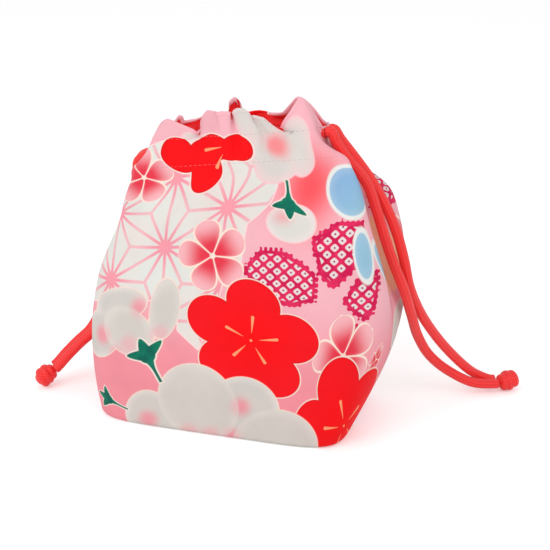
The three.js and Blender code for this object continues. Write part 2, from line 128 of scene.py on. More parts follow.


# %% [markdown]
# ## Small helpers for curves
#
# A soft step and a soft bump shape almost everything on cloth. Curves through a few given points are
# drawn with slopes that never overshoot, so a fold stays where its points are.

# %% Steps, bumps and curves through points
def smooth(value, low, high):
    """Soft step 3q^2 - 2q^3, where q is how far value lies from low to high, held in 0..1."""
    q = np.clip((value - low) / (high - low), 0, 1)
    return q * q * (3 - 2 * q)


def bump(a, b, width):
    """exp(-(distance / width)^2), where distance goes round a circle of length 1 the short way."""
    away = np.abs((a - b + 1.5) % 1 - 0.5)
    return np.exp(-(away / width) ** 2)


def curved(places, values, slopes, where):
    """Cubic with given slopes: a (1 - r) + b r + h q (1 - q) (sa (1 - q) - sb q), r = 3q^2 - 2q^3."""
    k = np.clip(np.searchsorted(places, where) - 1, 0, len(places) - 2)
    step = places[k + 1] - places[k]
    q = np.clip((where - places[k]) / step, 0, 1)
    r = q * q * (3 - 2 * q)
    q, r, step = q[..., None], r[..., None], step[..., None]
    pull = slopes[k] * (1 - q) - slopes[k + 1] * q
    return values[k] * (1 - r) + values[k + 1] * r + step * q * (1 - q) * pull


def mean_slopes(places, values):
    """Slope at each place from its two neighbours, and from the one neighbour at the ends."""
    inner = (values[2:] - values[:-2]) / (places[2:] - places[:-2])[:, None]
    ends = np.diff(values, axis=0) / np.diff(places)[:, None]
    return np.vstack([ends[:1], inner, ends[-1:]])


def tame_slopes(places, values):
    """Harmonic mean of the slopes on both sides, and 0 where they disagree, so nothing overshoots."""
    side = np.diff(values, axis=0) / np.diff(places)[:, None]
    product = side[1:] * side[:-1]
    total = side[1:] + side[:-1]
    inner = np.where(product > 0, 2 * product / np.where(total == 0, 1, total), 0)
    return np.vstack([side[:1], inner, side[-1:]])


# %% [markdown]
# ## The shape of the cloth
#
# The shell is a function of two numbers: how far round the bag a point lies (0 at the left side
# seam, 0.25 at the front, 0.5 at the right seam) and how high. Each height has a rounded box for a
# plan, walked at equal lengths. Above the hip the side panels are drawn inwards, as they are when a
# cord pulls the mouth shut, and at the channel the plan turns into the flat oval that the cords take.
# It does so lower down at the seams, and higher up at the two front corners, which stay full.

# %% Plan of the bag at each height
BOX_STEPS = 721
BELOW_ONE = 0.999999  # keeps the end of a row apart from the start of the next
MOUTH_POWER = 2.4
GATHER = 0.05  # how far cloth slides towards the seams, as a share
NEAR_SHARE = 0.004


def rounded_box(half_width, half_depth, power, share):
    """|x/a|^n + |y/b|^n = 1, walked by length from the left seam by the front; one row per height."""
    turn = np.linspace(np.pi, 3 * np.pi, BOX_STEPS)
    c, s = np.cos(turn), np.sin(turn)
    e = 2 / power[:, None]
    x = half_width[:, None] * np.sign(c) * np.abs(c) ** e
    y = half_depth[:, None] * np.sign(s) * np.abs(s) ** e
    length = np.cumsum(np.hypot(np.diff(x), np.diff(y)), axis=1)
    length = np.hstack([np.zeros((len(x), 1)), length])
    row = np.arange(len(x))[:, None]
    place = row + BELOW_ONE * length / length[:, -1:]
    wanted = row + BELOW_ONE * (share % 1)
    out = [np.interp(wanted.ravel(), place.ravel(), v.ravel()).reshape(share.shape) for v in (x, y)]
    return np.stack(out, -1)


def cord_line(share):
    """Plan of the cords: an oval whose corners gather GATHER sin(4 pi u) of the cloth."""
    drawn = (share - GATHER * np.sin(4 * np.pi * share)).reshape(1, -1)
    plan = rounded_box(MOUTH_HALF[:1], MOUTH_HALF[1:], np.array([MOUTH_POWER]), drawn)
    return plan.reshape(*share.shape, 2) + MOUTH


def cord_line_out(share):
    """Outward normal of the cords' plan, from the difference of two near points."""
    along = cord_line(share + NEAR_SHARE) - cord_line(share - NEAR_SHARE)
    out = np.stack([along[..., 1], -along[..., 0]], -1)
    return out / np.linalg.norm(out, axis=-1, keepdims=True)


VALLEYS = np.array([
    # place, width of the valleys between pleats
    [0.205, 0.02], [0.262, 0.008], [0.315, 0.008], [0.372, 0.014],
    [0.635, 0.02], [0.69, 0.02], [0.745, 0.02], [0.8, 0.02], [0.855, 0.02],
])


def pleats(share):
    """How far the gathered cloth stands off the cords: RIDGE (1 - the sum of the valleys' bumps)."""
    return RIDGE - RIDGE * sum(bump(share, at, width) for at, width in VALLEYS)


# %% The cloth below the rim
BASE_POWER, BELLY_POWER, COLLAR_POWER = 6, 4.2, 4.4
SIDE_FOLD = 26  # how far the side panels are drawn inwards
FOLD_WIDTH = 0.042  # as a share of the way round
SEAM_WIDTH = 0.05
CORNERS, CORNER_WIDTH, CORNER_RISE = (0.075, 0.42), 0.04, 20


def body_plan(share, height):
    """Plan point of the cloth below the rim, with the side folds drawn in and blended to the cords."""
    heights, plans = STATIONS[:, 0], STATIONS[:, 1:]
    plan = curved(heights, plans, mean_slopes(heights, plans), height)
    half_width, half_depth, lean, shift, skew = plan.T
    edge = BASE_EDGE * (1 - np.sqrt(1 - (1 - np.minimum(height / BASE_EDGE, 1)) ** 2))
    drawn_in = SIDE_FOLD * smooth(height, HIP, COLLAR) * (1 - smooth(height, COLLAR, CHANNEL_BOTTOM))
    low = BASE_POWER + (BELLY_POWER - BASE_POWER) * smooth(height, 0, HIP)
    power = low + (COLLAR_POWER - low) * smooth(height, BELLY, COLLAR)
    box = rounded_box(half_width - edge, half_depth - edge, power, share)
    x = box[..., 0] + drawn_in[:, None] * (bump(share, 0, FOLD_WIDTH) - bump(share, 0.5, FOLD_WIDTH))
    x = x + lean[:, None] + (skew / half_depth)[:, None] * box[..., 1]
    y = box[..., 1] + shift[:, None]
    seam = np.minimum(bump(share, 0, SEAM_WIDTH) + bump(share, 0.5, SEAM_WIDTH), 1)
    corner = sum(bump(share, at, CORNER_WIDTH) for at in CORNERS)
    full = CHANNEL_TOP + (CHANNEL_BOTTOM - CHANNEL_TOP) * seam + CORNER_RISE * corner * (1 - seam)
    part = smooth(height[:, None], COLLAR, full)[..., None]
    neck = cord_line(share) + cord_line_out(share) * (TO_CORD + CLOTH + pleats(share))[..., None]
    return np.stack([x, y], -1) * (1 - part) + neck * part


def lifted(plan, height):
    """Plan points raised to their height: the right side of the mouth stands higher than the left."""
    slope = RISE * (plan[..., 0] - MOUTH[0]) * smooth(height, BELLY, CHANNEL_BOTTOM)[:, None]
    return np.concatenate([plan, (height[:, None] + slope)[..., None]], -1)


# %% [markdown]
# ## The rim
#
# Above the channel the cloth stands free in soft pleats, and no two are alike, so its edge is a
# closed line through listed points. The front has a deep fold beside its first pleat and a
# sharp notch before its peak, and the back has one narrow pleat that stands up like a loop.

# %% Rim line: share of the way round, then x, y, z
RIM_LINE = np.array([
    [0.000, -45.5, 3, 167], [0.028, -42.5, -1, 170.5], [0.052, -39, -5, 173.5],
    [0.075, -35, -8, 175.5], [0.100, -31, -10, 175], [0.125, -27, -11.5, 174],
    [0.150, -22, -12, 172.5], [0.170, -18, -11.5, 171], [0.181, -16, -8.5, 169],
    [0.189, -17.5, -2, 168.5], [0.197, -19.5, 4, 173], [0.205, -18.5, 6.5, 176.5],
    [0.212, -16.5, 8, 178.5], [0.219, -14, 7.5, 178.5], [0.226, -10, 3, 179],
    [0.231, -5.5, -6, 180], [0.236, -4, -12, 181.5], [0.244, 0, -13, 182.5],
    [0.252, 4, -12.5, 182.5], [0.257, 3.5, -8.5, 181], [0.262, 4, -9, 181],
    [0.268, 6, -13, 183.5], [0.280, 9.5, -14, 185], [0.292, 13, -14, 185],
    [0.302, 15, -13, 183.5], [0.312, 16, -11.5, 181], [0.330, 21, -13.5, 181],
    [0.348, 24.5, -13.5, 180.5], [0.358, 25, -10, 177], [0.366, 25.5, -6, 172.5],
    [0.372, 26.5, -3.5, 168.5], [0.379, 29.5, -6, 172], [0.388, 33.5, -9, 179],
    [0.398, 37.5, -10.5, 184.5], [0.408, 40.5, -9.5, 189.5], [0.416, 42.5, -7.5, 192],
    [0.432, 47, -6, 187.5], [0.455, 52, -3.5, 179], [0.475, 54.3, -1, 173.5],
    [0.500, 55.5, 3, 169], [0.530, 53, 8.5, 173], [0.560, 46, 9, 183], [0.585, 38, 5, 190],
    [0.600, 32.5, 8, 185], [0.615, 27.5, 10, 180], [0.635, 23, 13.5, 178.5],
    [0.660, 18.5, 15.5, 178], [0.680, 13.5, 16.5, 178.5], [0.700, 9, 16.5, 178],
    [0.722, 4.5, 16.5, 177], [0.741, 1, 17, 176], [0.747, 0, 16.5, 179], [0.753, -0.5, 16, 182],
    [0.759, -1.5, 16, 184.5], [0.765, -3, 16, 185], [0.771, -4.5, 16, 184], [0.777, -6, 16, 182],
    [0.783, -6, 16.5, 178.5], [0.789, -7.5, 17, 175.5], [0.820, -12.5, 15.5, 175],
    [0.860, -22, 14.5, 173.5], [0.880, -25.5, 14.5, 172], [0.898, -30, 14, 171],
    [0.914, -33, 13, 170.5], [0.924, -34, 12.5, 173], [0.933, -36, 12, 173.5],
    [0.942, -37, 11, 172], [0.960, -40, 8.5, 168], [1.000, -45.5, 3, 167],
])


# %% The whole outer face
FLARE = 1.3  # above 1, the way to the rim starts upright


def rim_point(share):
    """Point of the rim line, by cubics that keep between their points."""
    places, points = RIM_LINE[:, 0], RIM_LINE[:, 1:]
    return curved(places, points, tame_slopes(places, points), share % 1)


def cloth(share, height):
    """Outer face: the plan, and above the channel plan (1 - q^FLARE) + rim q^FLARE, q = 0..1."""
    low = np.minimum(height, CHANNEL_TOP)
    body = lifted(body_plan(share, low), low)
    up = np.clip((height - CHANNEL_TOP) / (RIM - CHANNEL_TOP), 0, 1)[:, None, None]
    out = up ** FLARE
    rim = rim_point(share)
    plan = body[..., :2] * (1 - out) + rim[..., :2] * out
    return np.concatenate([plan, body[..., 2:] * (1 - up) + rim[..., 2:] * up], -1)


def normals(grid):
    """Unit outward normals of a grid, the cross product of its two directions."""
    along, up = np.gradient(grid, axis=1), np.gradient(grid, axis=0)
    n = np.cross(along, up)
    return n / np.maximum(np.linalg.norm(n, axis=-1, keepdims=True), 1e-9)


# %% [markdown]
# ## From grids to meshes
#
# A piece of cloth has two faces and an edge all round. One function takes an outer and an inner grid
# and closes them into a solid, with flat edges so that the shading breaks there as it does on a cut
# edge. The faces are index arrays, so nothing loops over points.

# %% Mesh makers
def new_piece(name, points, quads, soft=True):
    """A mesh object from points in millimetres and quads, smooth shaded where soft says so."""
    mesh = bpy.data.meshes.new(name)
    mesh.from_pydata(metres(points).tolist(), [], [list(map(int, face)) for face in quads])
    mesh.polygons.foreach_set("use_smooth", np.broadcast_to(soft, len(quads)).astype(bool))
    mesh.update()
    piece = bpy.data.objects.new(name, mesh)
    bpy.context.scene.collection.objects.link(piece)
    return piece


def grid_quads(rows, columns, wrap=False):
    """Quads of a grid of rows x columns points: a, a+1, a+1+columns, a+columns."""
    k = np.arange(columns if wrap else columns - 1)
    row = np.arange(rows - 1)[:, None] * columns
    right = (k + 1) % columns
    quads = np.stack([row + k, row + right, row + columns + right, row + columns + k], -1)
    return quads.reshape(-1, 4)


def slab(outer, inner):
    """Points, quads and smooth flags of the solid between two grids of one size, edges flat."""
    rows, columns = outer.shape[:2]
    count = rows * columns
    points = np.vstack([outer.reshape(-1, 3), inner.reshape(-1, 3)])
    faces = grid_quads(rows, columns)
    index = np.arange(count).reshape(rows, columns)
    ring = np.concatenate([index[0, :-1], index[:-1, -1], index[-1, :0:-1], index[:0:-1, 0]])
    after = np.roll(ring, -1)
    border = np.stack([after, ring, ring + count, after + count], -1)
    quads = np.vstack([faces, faces[:, ::-1] + count, border])
    soft = np.arange(len(quads)) < 2 * len(faces)
    return points, quads, soft


def tube_grid(path, radius, sides):
    """Rings p + r (cos a n + sin a b) round a path, with one r or one for each point; n never turns."""
    along = np.gradient(path, axis=0)
    along /= np.linalg.norm(along, axis=1, keepdims=True)
    normal = np.zeros_like(path)
    start = np.cross(along[0], [0, 0, 1.0] if abs(along[0, 2]) < 0.9 else [1.0, 0, 0])
    normal[0] = start / np.linalg.norm(start)
    for k in range(1, len(path)):
        carried = normal[k - 1] - along[k] * (normal[k - 1] @ along[k])
        normal[k] = carried / np.linalg.norm(carried)
    across = np.cross(along, normal)
    turn = 2 * np.pi * np.arange(sides) / sides
    c, s = np.cos(turn)[None, :, None], np.sin(turn)[None, :, None]
    radius = np.reshape(radius, (-1, 1, 1))
    return path[:, None] + radius * (c * normal[:, None] + s * across[:, None])


print("rim from", RIM_LINE[:, 3].min(), "to", RIM_LINE[:, 3].max(), "mm")

# %% [markdown]
# ## The four free cord ends
#
# Each cord leaves the channel through a slit in a side seam, hangs down the folded side, and runs
# out along the table to a knot that it shares with its other end. The route is the one the CAD part
# has, a curve through listed points. It is a tube with its own map, so that the knitted
# pattern can run along it.

# %% Cord routes in millimetres
ENDS = {1: MOUTH[0] + MOUTH_HALF[0], -1: MOUTH[0] - MOUTH_HALF[0]}
CORD_HEIGHT = {1: CHANNEL + SPACING / 2, -1: CHANNEL - SPACING / 2}
TO_EXIT = TO_CORD + CLOTH + RIDGE
KNOTS = {
    # side: middle, turn about the upright, tilt of the far end towards the floor
    1: ((156.5, 69.5, 6.4), 28, 0),
    -1: ((-121.5, -11, 7.8), 214, 38),
}
KNOT_REACH = 7.8  # from a knot's middle to the end of its cords
KNOT_LEAD = 2.2  # length that goes straight in
CURVE_STEPS = 2000
RING_STEP = 1.0  # from one ring of a cord to the next
ROUTES = {
    "right_front": (1, -1, [
        [61.2, -0.5, 167], [67.5, 1, 157.8], [77.5, 3, 145], [83.5, 3.2, 130], [88.8, 3.5, 114],
        [94.2, 4, 99], [99.8, 8, 83], [103, 18, 64], [105, 31, 46], [110.8, 41, 30], [121.5, 50, 17],
        [136.5, 56.5, 8]]),
    "right_back": (1, 1, [
        [61.5, 5.8, 168], [68.8, 7.5, 158.5], [78.2, 9.6, 145.5], [87.2, 11, 130], [94, 12, 114],
        [98.4, 12.5, 99], [101.2, 16, 83], [105.6, 26, 65], [112.2, 37, 48], [120.6, 48, 32],
        [131.5, 58, 17], [138, 64.5, 10]]),
    "left_front": (-1, -1, [
        [-56.7, -0.9, 147.8], [-57, 0, 136], [-58, 1, 122], [-62.5, 1.5, 108], [-69.5, 2, 93],
        [-76, 2, 79], [-82, 3, 65], [-86, 4.5, 54], [-90, 4.6, 43.5], [-95.1, 2.9, 34.2],
        [-101.6, -1.5, 27.6], [-108.2, -5.9, 20.2]]),
    "left_back": (-1, 1, [
        [-57.3, 5.8, 149], [-57.8, 7.5, 136], [-59.2, 9.2, 122], [-64, 9.5, 108], [-72, 9.5, 93],
        [-78.5, 9.8, 80], [-84, 10.6, 67], [-88.5, 11.5, 55], [-93.5, 11, 43.5], [-98.7, 8.3, 34.2],
        [-105.2, 3.9, 27.6], [-111.8, -0.5, 20.2]]),
}


# %% From slit to knot
def knot_axes(side):
    """A knot's middle and its directions along, across and up."""
    centre, turn, tilt = KNOTS[side]
    c, s = math.cos(math.radians(turn)), math.sin(math.radians(turn))
    level, drop = math.cos(math.radians(tilt)), math.sin(math.radians(tilt))
    return np.array([centre, (level * c, level * s, -drop), (-s, c, 0), (drop * c, drop * s, level)])


def cord_place(side, x, y):
    """A point at a cord's height in the channel, raised by the slope of the mouth."""
    return [x, y, CORD_HEIGHT[side] + RISE * (x - MOUTH[0])]


def route(side, to_back, points):
    """Slit, points and knot in one list: the first two go straight out, the last two straight in."""
    y = MOUTH[1] + to_back * SPACING / 2
    start = [cord_place(side, ENDS[side] + side * (TO_EXIT + out), y) for out in (GAP, CORD / 2)]
    centre, along, across, _ = knot_axes(side)
    face = centre + across * side * to_back * SPACING / 2
    finish = [face - along * (KNOT_REACH + lead) for lead in (KNOT_LEAD, 0)]
    return np.array([*start, *points, *finish], float)


# %% Curves through points, in even steps
def read_at(where, places, points):
    """Points read off at where, by straight lines between the points at places."""
    return np.stack([np.interp(where, places, points[:, k]) for k in range(3)], -1)


def running_length(path):
    """Length of a path from its start to each of its points."""
    return np.concatenate([[0], np.cumsum(np.linalg.norm(np.diff(path, axis=0), axis=1))])


def through(points):
    """Curve through points by three rounds of blends in time, which grows by sqrt(distance)."""
    points = np.vstack([2 * points[0] - points[1], points, 2 * points[-1] - points[-2]])
    steps = np.sqrt(np.linalg.norm(np.diff(points, axis=0), axis=1))
    times = np.concatenate([[0], np.cumsum(steps)])
    where = np.linspace(times[1], times[-2], CURVE_STEPS)
    k = np.clip(np.searchsorted(times, where, side="right") - 1, 1, len(times) - 3)
    t = where[:, None]
    k0, k1, k2, k3 = (times[k + i][:, None] for i in (-1, 0, 1, 2))
    p0, p1, p2, p3 = (points[k + i] for i in (-1, 0, 1, 2))
    a1 = p0 * (k1 - t) / (k1 - k0) + p1 * (t - k0) / (k1 - k0)
    a2 = p1 * (k2 - t) / (k2 - k1) + p2 * (t - k1) / (k2 - k1)
    a3 = p2 * (k3 - t) / (k3 - k2) + p3 * (t - k2) / (k3 - k2)
    b1 = a1 * (k2 - t) / (k2 - k0) + a2 * (t - k0) / (k2 - k0)
    b2 = a2 * (k3 - t) / (k3 - k1) + a3 * (t - k1) / (k3 - k1)
    fine = b1 * (k2 - t) / (k2 - k1) + b2 * (t - k1) / (k2 - k1)
    length = running_length(fine)
    even = np.linspace(0, length[-1], int(length[-1] / RING_STEP) + 1)
    return read_at(even, length, fine)


def length_of(path):
    """Length of a path of points, in millimetres."""
    return float(running_length(path)[-1])


# %% [markdown]
# A cord is a tube of even rings. Its map has the share of the way round in one direction and
# millimetres along it in the other, which a knitted pattern needs so as not to stretch.

# %% Cord maker
CORD_SIDES = 20


def cord_piece(name, path, radius=CORD / 2):
    """Tube along path with flat closed ends and a map of (share round, millimetres along)."""
    rings = tube_grid(path, radius, CORD_SIDES)
    rows, sides = rings.shape[:2]
    points = np.vstack([rings.reshape(-1, 3), rings[0].mean(0)[None], rings[-1].mean(0)[None]])
    quads = grid_quads(rows, sides, wrap=True)
    k = np.arange(sides)
    after = (k + 1) % sides
    last = (rows - 1) * sides
    caps = [[rows * sides, b, a] for a, b in zip(k.tolist(), after.tolist())]
    caps += [[rows * sides + 1, last + a, last + b] for a, b in zip(k.tolist(), after.tolist())]
    mesh = bpy.data.meshes.new(name)
    mesh.from_pydata(metres(points).tolist(), [], quads.tolist() + caps)
    mesh.polygons.foreach_set("use_smooth", np.arange(len(quads) + len(caps)) < len(quads))
    along = running_length(path)
    row = np.repeat(np.arange(rows - 1), sides)
    column = np.tile(k, rows - 1)
    u = np.stack([column, column + 1, column + 1, column], 1) / sides
    v = np.stack([along[row], along[row], along[row + 1], along[row + 1]], 1)
    body = np.stack([u, v], -1).reshape(-1, 2)
    ends = np.zeros((3 * len(caps), 2))
    ends[:, 1] = np.repeat([along[0], along[-1]], 3 * sides)
    layer = mesh.uv_layers.new(name="cord")
    layer.data.foreach_set("uv", np.vstack([body, ends]).astype(np.float32).ravel())
    mesh.update()
    piece = bpy.data.objects.new(name, mesh)
    bpy.context.scene.collection.objects.link(piece)
    return piece


# %% The free ends
PATHS = {name: through(route(*facts)) for name, facts in ROUTES.items()}
free_cords = {name: cord_piece("free_cord_" + name, path) for name, path in PATHS.items()}
for name, path in PATHS.items():
    print("free cord", name, round(length_of(path)), "mm")

# %% [markdown]
# ## The knots
#
# Each pair of ends is tied in one knot: the cord wraps nearly three times round the pair and is pulled
# tight, so it reads as a small barrel of turns with a blunt end. A tight winding along the pair, and a
# tuck over its end, give that with the same tube as the cords, round a core that fills the barrel.

# %% Knots
KNOT_CORD = 2.7  # half the thickness of the cord, pulled tight
KNOT_TURNS = 2.7
KNOT_START = 0.6  # angle of the first turn
KNOT_FROM, KNOT_LONG = -4.4, 8.6  # where the turns start on the pair, and how far they go
KNOT_RADIUS = 3.55  # from the middle of the pair to the middle of a turn
KNOT_POINTS = 140
CORE_FROM, CORE_TO = -7.4, 6.6
CORE_RADIUS = 4.3
CORE_POINTS = 40


def knot_path(side):
    """Helix round the pair: it widens in its first fifth, and in its last seventh it is tucked in."""
    centre, along, across, up = knot_axes(side)
    q = np.linspace(0, 1, KNOT_POINTS)
    angle = side * 2 * np.pi * KNOT_TURNS * q + KNOT_START
    place = KNOT_FROM + KNOT_LONG * q
    radius = KNOT_RADIUS * np.sin(np.clip(q * 8, 0, np.pi / 2)) * (1 - 0.85 * smooth(q, 0.86, 1.0))
    spot = centre + along * place[:, None]
    return spot + radius[:, None] * (np.cos(angle)[:, None] * across + np.sin(angle)[:, None] * up)


knots = {}
for side, name in ((1, "right"), (-1, "left")):
    wrap = knot_path(side)
    centre, along, _, _ = knot_axes(side)
    knots[name] = cord_piece("knot_wrap_" + name, wrap, KNOT_CORD)
    core = centre + along * np.linspace(CORE_FROM, CORE_TO, CORE_POINTS)[:, None]
    swell = CORE_RADIUS * np.sqrt(np.clip(1 - (np.linspace(-1, 1, CORE_POINTS) ** 6), 0.02, 1))
    knots[name + "_core"] = cord_piece("knot_core_" + name, core, swell)
    print("knot", name, "with", round(length_of(wrap)), "mm of cord wound round it")

# %% [markdown]
# ## Cords inside the channel
#
# Inside the channel each cord goes once round the mouth between the cloth and the lining. It is
# hardly seen, except at the slits, but it is a real piece that holds the pleats out.

# %% Cord loops
LOOP_OPEN = 0.09  # share of the oval left open on each side of the slit
LOOP_STEPS = 60


def loop_route(side):
    """In by the front half of the slit, round the oval, and out by the back half."""
    share = LOOP_OPEN + (1 - 2 * LOOP_OPEN) * np.arange(LOOP_STEPS + 1) / LOOP_STEPS
    start = 0.5 if side > 0 else 1.0
    plan = cord_line((start - side * share + 1) % 1)
    height = CORD_HEIGHT[side] + RISE * (plan[:, 0] - MOUTH[0])
    ring = np.concatenate([plan, height[:, None]], 1)
    leave = [[cord_place(side, ENDS[side] + side * out, MOUTH[1] + back * SPACING / 2)
              for out in (TO_CORD, TO_EXIT)] for back in (-1, 1)]
    return np.vstack([leave[0][::-1], ring, leave[1]])


cord_loops = {name: cord_piece("cord_loop_" + name, through(loop_route(side)))
              for side, name in ((1, "right"), (-1, "left"))}
print("cord loops", list(cord_loops))

# %% [markdown]
# ## The cloth, its lining and its edge
#
# The printed cloth is made in two halves that meet at the side seams. Where a cord leaves, the edge
# of each half is drawn back from the seam, so the two edges make the slit. The lining follows a
# little inside, and passes inside the cords where the channel is.

# %% Rows and columns of the cloth
SLIT_HALF = 6.6  # along the cloth
SLIT_TALL = 3.9  # up from its middle
SLIT_FADE = 12  # the larger, the sooner the columns are even again away from a slit
NECK_ROUND = 200.0  # once round the neck
SEAM_GAP = 0.0005  # share left open at a seam
COLUMNS = 200
EVEN = 6  # columns on both sides that even out a direction
BASE_HEIGHTS = [0, 0.5, 1.2, 2.1]
BODY_ROWS, CHANNEL_ROWS, COLLAR_ROWS = 92, 46, 34
HEIGHTS = np.concatenate([
    BASE_HEIGHTS, np.linspace(BASE_EDGE, COLLAR, BODY_ROWS)[:-1],
    np.linspace(COLLAR, CHANNEL_TOP, CHANNEL_ROWS)[:-1], np.linspace(CHANNEL_TOP, RIM, COLLAR_ROWS),
])
FIRST = {"front": 0.0, "back": 0.5}
LINING = 0.8  # thickness of the lining
FOLD_ROOM = 0.2  # taken off the cloth's inside, so that tight folds clear themselves
THINNER = 0.45  # share of the thickness that is gone at the rim


def even_shares(first, count):
    """Shares of one half in even steps, from just past its first seam to just before the other."""
    return first + SEAM_GAP + (0.5 - 2 * SEAM_GAP) * np.linspace(0, 1, count)


def slit(height, side):
    """How far the edges are drawn back, as a share of the mouth: an ellipse about the cord's height."""
    away = (height - CORD_HEIGHT[side]) / SLIT_TALL
    return SEAM_GAP + SLIT_HALF / NECK_ROUND * np.sqrt(np.clip(1 - away ** 2, 0, 1))


def half_shares(height, first):
    """Shares q / 2 of each row, drawn back next to the seams by start (1 - q)^n and end q^n."""
    left, right = slit(height, -1)[:, None], slit(height, 1)[:, None]
    start, end = (left, right) if first == 0 else (right, left)
    q = np.linspace(0, 1, COLUMNS)
    return first + 0.5 * q + start * (1 - q) ** SLIT_FADE - end * q ** SLIT_FADE


def thinness(height):
    """1 on the bag and less at the rim, where the pressed edge is thin: 1 - THINNER s(height)."""
    return (1 - THINNER * smooth(height, CHANNEL_TOP, RIM))[:, None, None]


def evened(vectors):
    """Unit mean of the vectors within EVEN columns on both sides, so tight folds don't cross over."""
    pad = [(0, 0)] * (vectors.ndim - 2) + [(EVEN + 1, EVEN), (0, 0)]
    total = np.cumsum(np.pad(vectors, pad, mode="edge"), axis=-2)
    mean = total[..., 2 * EVEN + 1:, :] - total[..., :-2 * EVEN - 1, :]
    return mean / np.linalg.norm(mean, axis=-1, keepdims=True)


def lining_face(share, height, inwards):
    """Cloth moved inwards, and in the channel the cords' plan moved inwards instead, blended."""
    grid = cloth(share, height)
    inner = grid - evened(normals(grid)) * (CLOTH + GAP + inwards) * thinness(height)
    channel = cord_line(share) - cord_line_out(share) * (TO_CORD + inwards)
    channel = np.concatenate([channel, lifted(channel, height)[..., 2:]], -1)
    above = smooth(height, CHANNEL_BOTTOM - CORD, CHANNEL_BOTTOM - GAP)
    below = 1 - smooth(height, CHANNEL_TOP + GAP, CHANNEL_TOP + CORD)
    part = (above * below)[:, None, None]
    return inner * (1 - part) + channel * part


# %% Cloth and lining halves
LINING_HEIGHTS = np.concatenate([[3.0, 4.5], HEIGHTS[5::2], HEIGHTS[-1:]])
halves, linings, shares = {}, {}, {}
for name, first in FIRST.items():
    shares[name] = half_shares(HEIGHTS, first)
    outer = cloth(shares[name], HEIGHTS)
    inner = outer - normals(outer) * (CLOTH - FOLD_ROOM) * thinness(HEIGHTS)
    halves[name] = new_piece("cloth_" + name, *slab(outer, inner))
    columns = np.broadcast_to(even_shares(first, COLUMNS), (len(LINING_HEIGHTS), COLUMNS))
    faces = (lining_face(columns, LINING_HEIGHTS, inwards) for inwards in (0, LINING))
    linings[name] = new_piece("red_lining_" + name, *slab(*faces))
    print("cloth", name, len(halves[name].data.polygons), "faces, its lining",
          len(linings[name].data.polygons))

# %% [markdown]
# The rim is a turned edge, a thin roll of the same cloth that stands round the mouth. It is a small
# rounded profile carried along the rim line, across the cloth's own direction there.

# %% Hem
HEM_PROFILE = np.array([
    # outwards, upwards from the rim line
    [0.04, -1.6], [0.14, -1.2], [0.18, -0.5], [0.1, 0.2], [-0.2, 0.6], [-0.65, 0.75],
    [-1.1, 0.65], [-1.45, 0.25], [-1.65, -0.5], [-1.6, -1.4], [-1.4, -2.2],
])
HEM_COLUMNS = 2 * COLUMNS
HEM_HEIGHTS = RIM - np.array([0.8, 0.4, 0])


def hem_grid(first):
    """Profile point (a, b) becomes rim + a * outward + b * upward, one column for each rim point."""
    edge = cloth(np.broadcast_to(even_shares(first, HEM_COLUMNS), (3, HEM_COLUMNS)), HEM_HEIGHTS)
    out = evened(normals(edge)[-1])
    up = edge[-1] - edge[0]
    up = evened(up / np.linalg.norm(up, axis=1, keepdims=True))
    return edge[-1] + HEM_PROFILE[:, :1, None] * out + HEM_PROFILE[:, 1:, None] * up


hems = {}
for name, first in FIRST.items():
    grid = hem_grid(first)
    rows, columns = grid.shape[:2]
    index = np.arange(rows * columns).reshape(rows, columns)
    under = np.stack([index[-1, :-1], index[0, :-1], index[0, 1:], index[-1, 1:]], -1)[:, ::-1]
    faces = [*np.vstack([grid_quads(rows, columns), under]), index[:, 0], index[::-1, -1]]
    soft = np.arange(len(faces)) < len(faces) - 2
    hems[name] = new_piece("mouth_edge_" + name, grid.reshape(-1, 3), faces, soft)
    print("hem", name, columns, "columns")

# %% [markdown]
# The channel for the cords is sewn by two rows of straight stitches, in a fine half-clear thread that
# takes the colour of the print below it. Each stitch is a short capsule of thread that dips at both
# ends, laid along the cloth's own row, so the stitches follow every pleat. A stitch that the cloth
# folds over, deep between two pleats, isn't seen and is left out.

# %% Stitches
STITCH_LENGTH = 2.2
STITCH_STEP = 2.9
STITCH_RADIUS = 0.2
STITCH_RINGS = 7
STITCH_SIDES = 6
STITCH_REACH = 1.5  # steps before and after a stitch that are searched for a fold
STITCH_STRAIGHT = 0.9
STITCH_FROM, STITCH_SPAN = 0.03, 0.44  # shares of the way round, clear of the slits
STITCH_ROWS = {"low": CHANNEL_BOTTOM - 1.5, "high": CHANNEL_TOP + 0.6}
LINE_STEPS = 3000


def unfolded(middles, along, line):
    """True where the straight way from before a stitch to after it is nearly as long as the row's."""
    reach = STITCH_REACH * STITCH_STEP
    ends = read_at(middles[:, None] + reach * np.array([-1, 1]), along, line)
    shown = np.linalg.norm(ends[:, 1] - ends[:, 0], axis=1) > STITCH_STRAIGHT * 2 * reach
    shown[[0, -1]] = True
    return shown


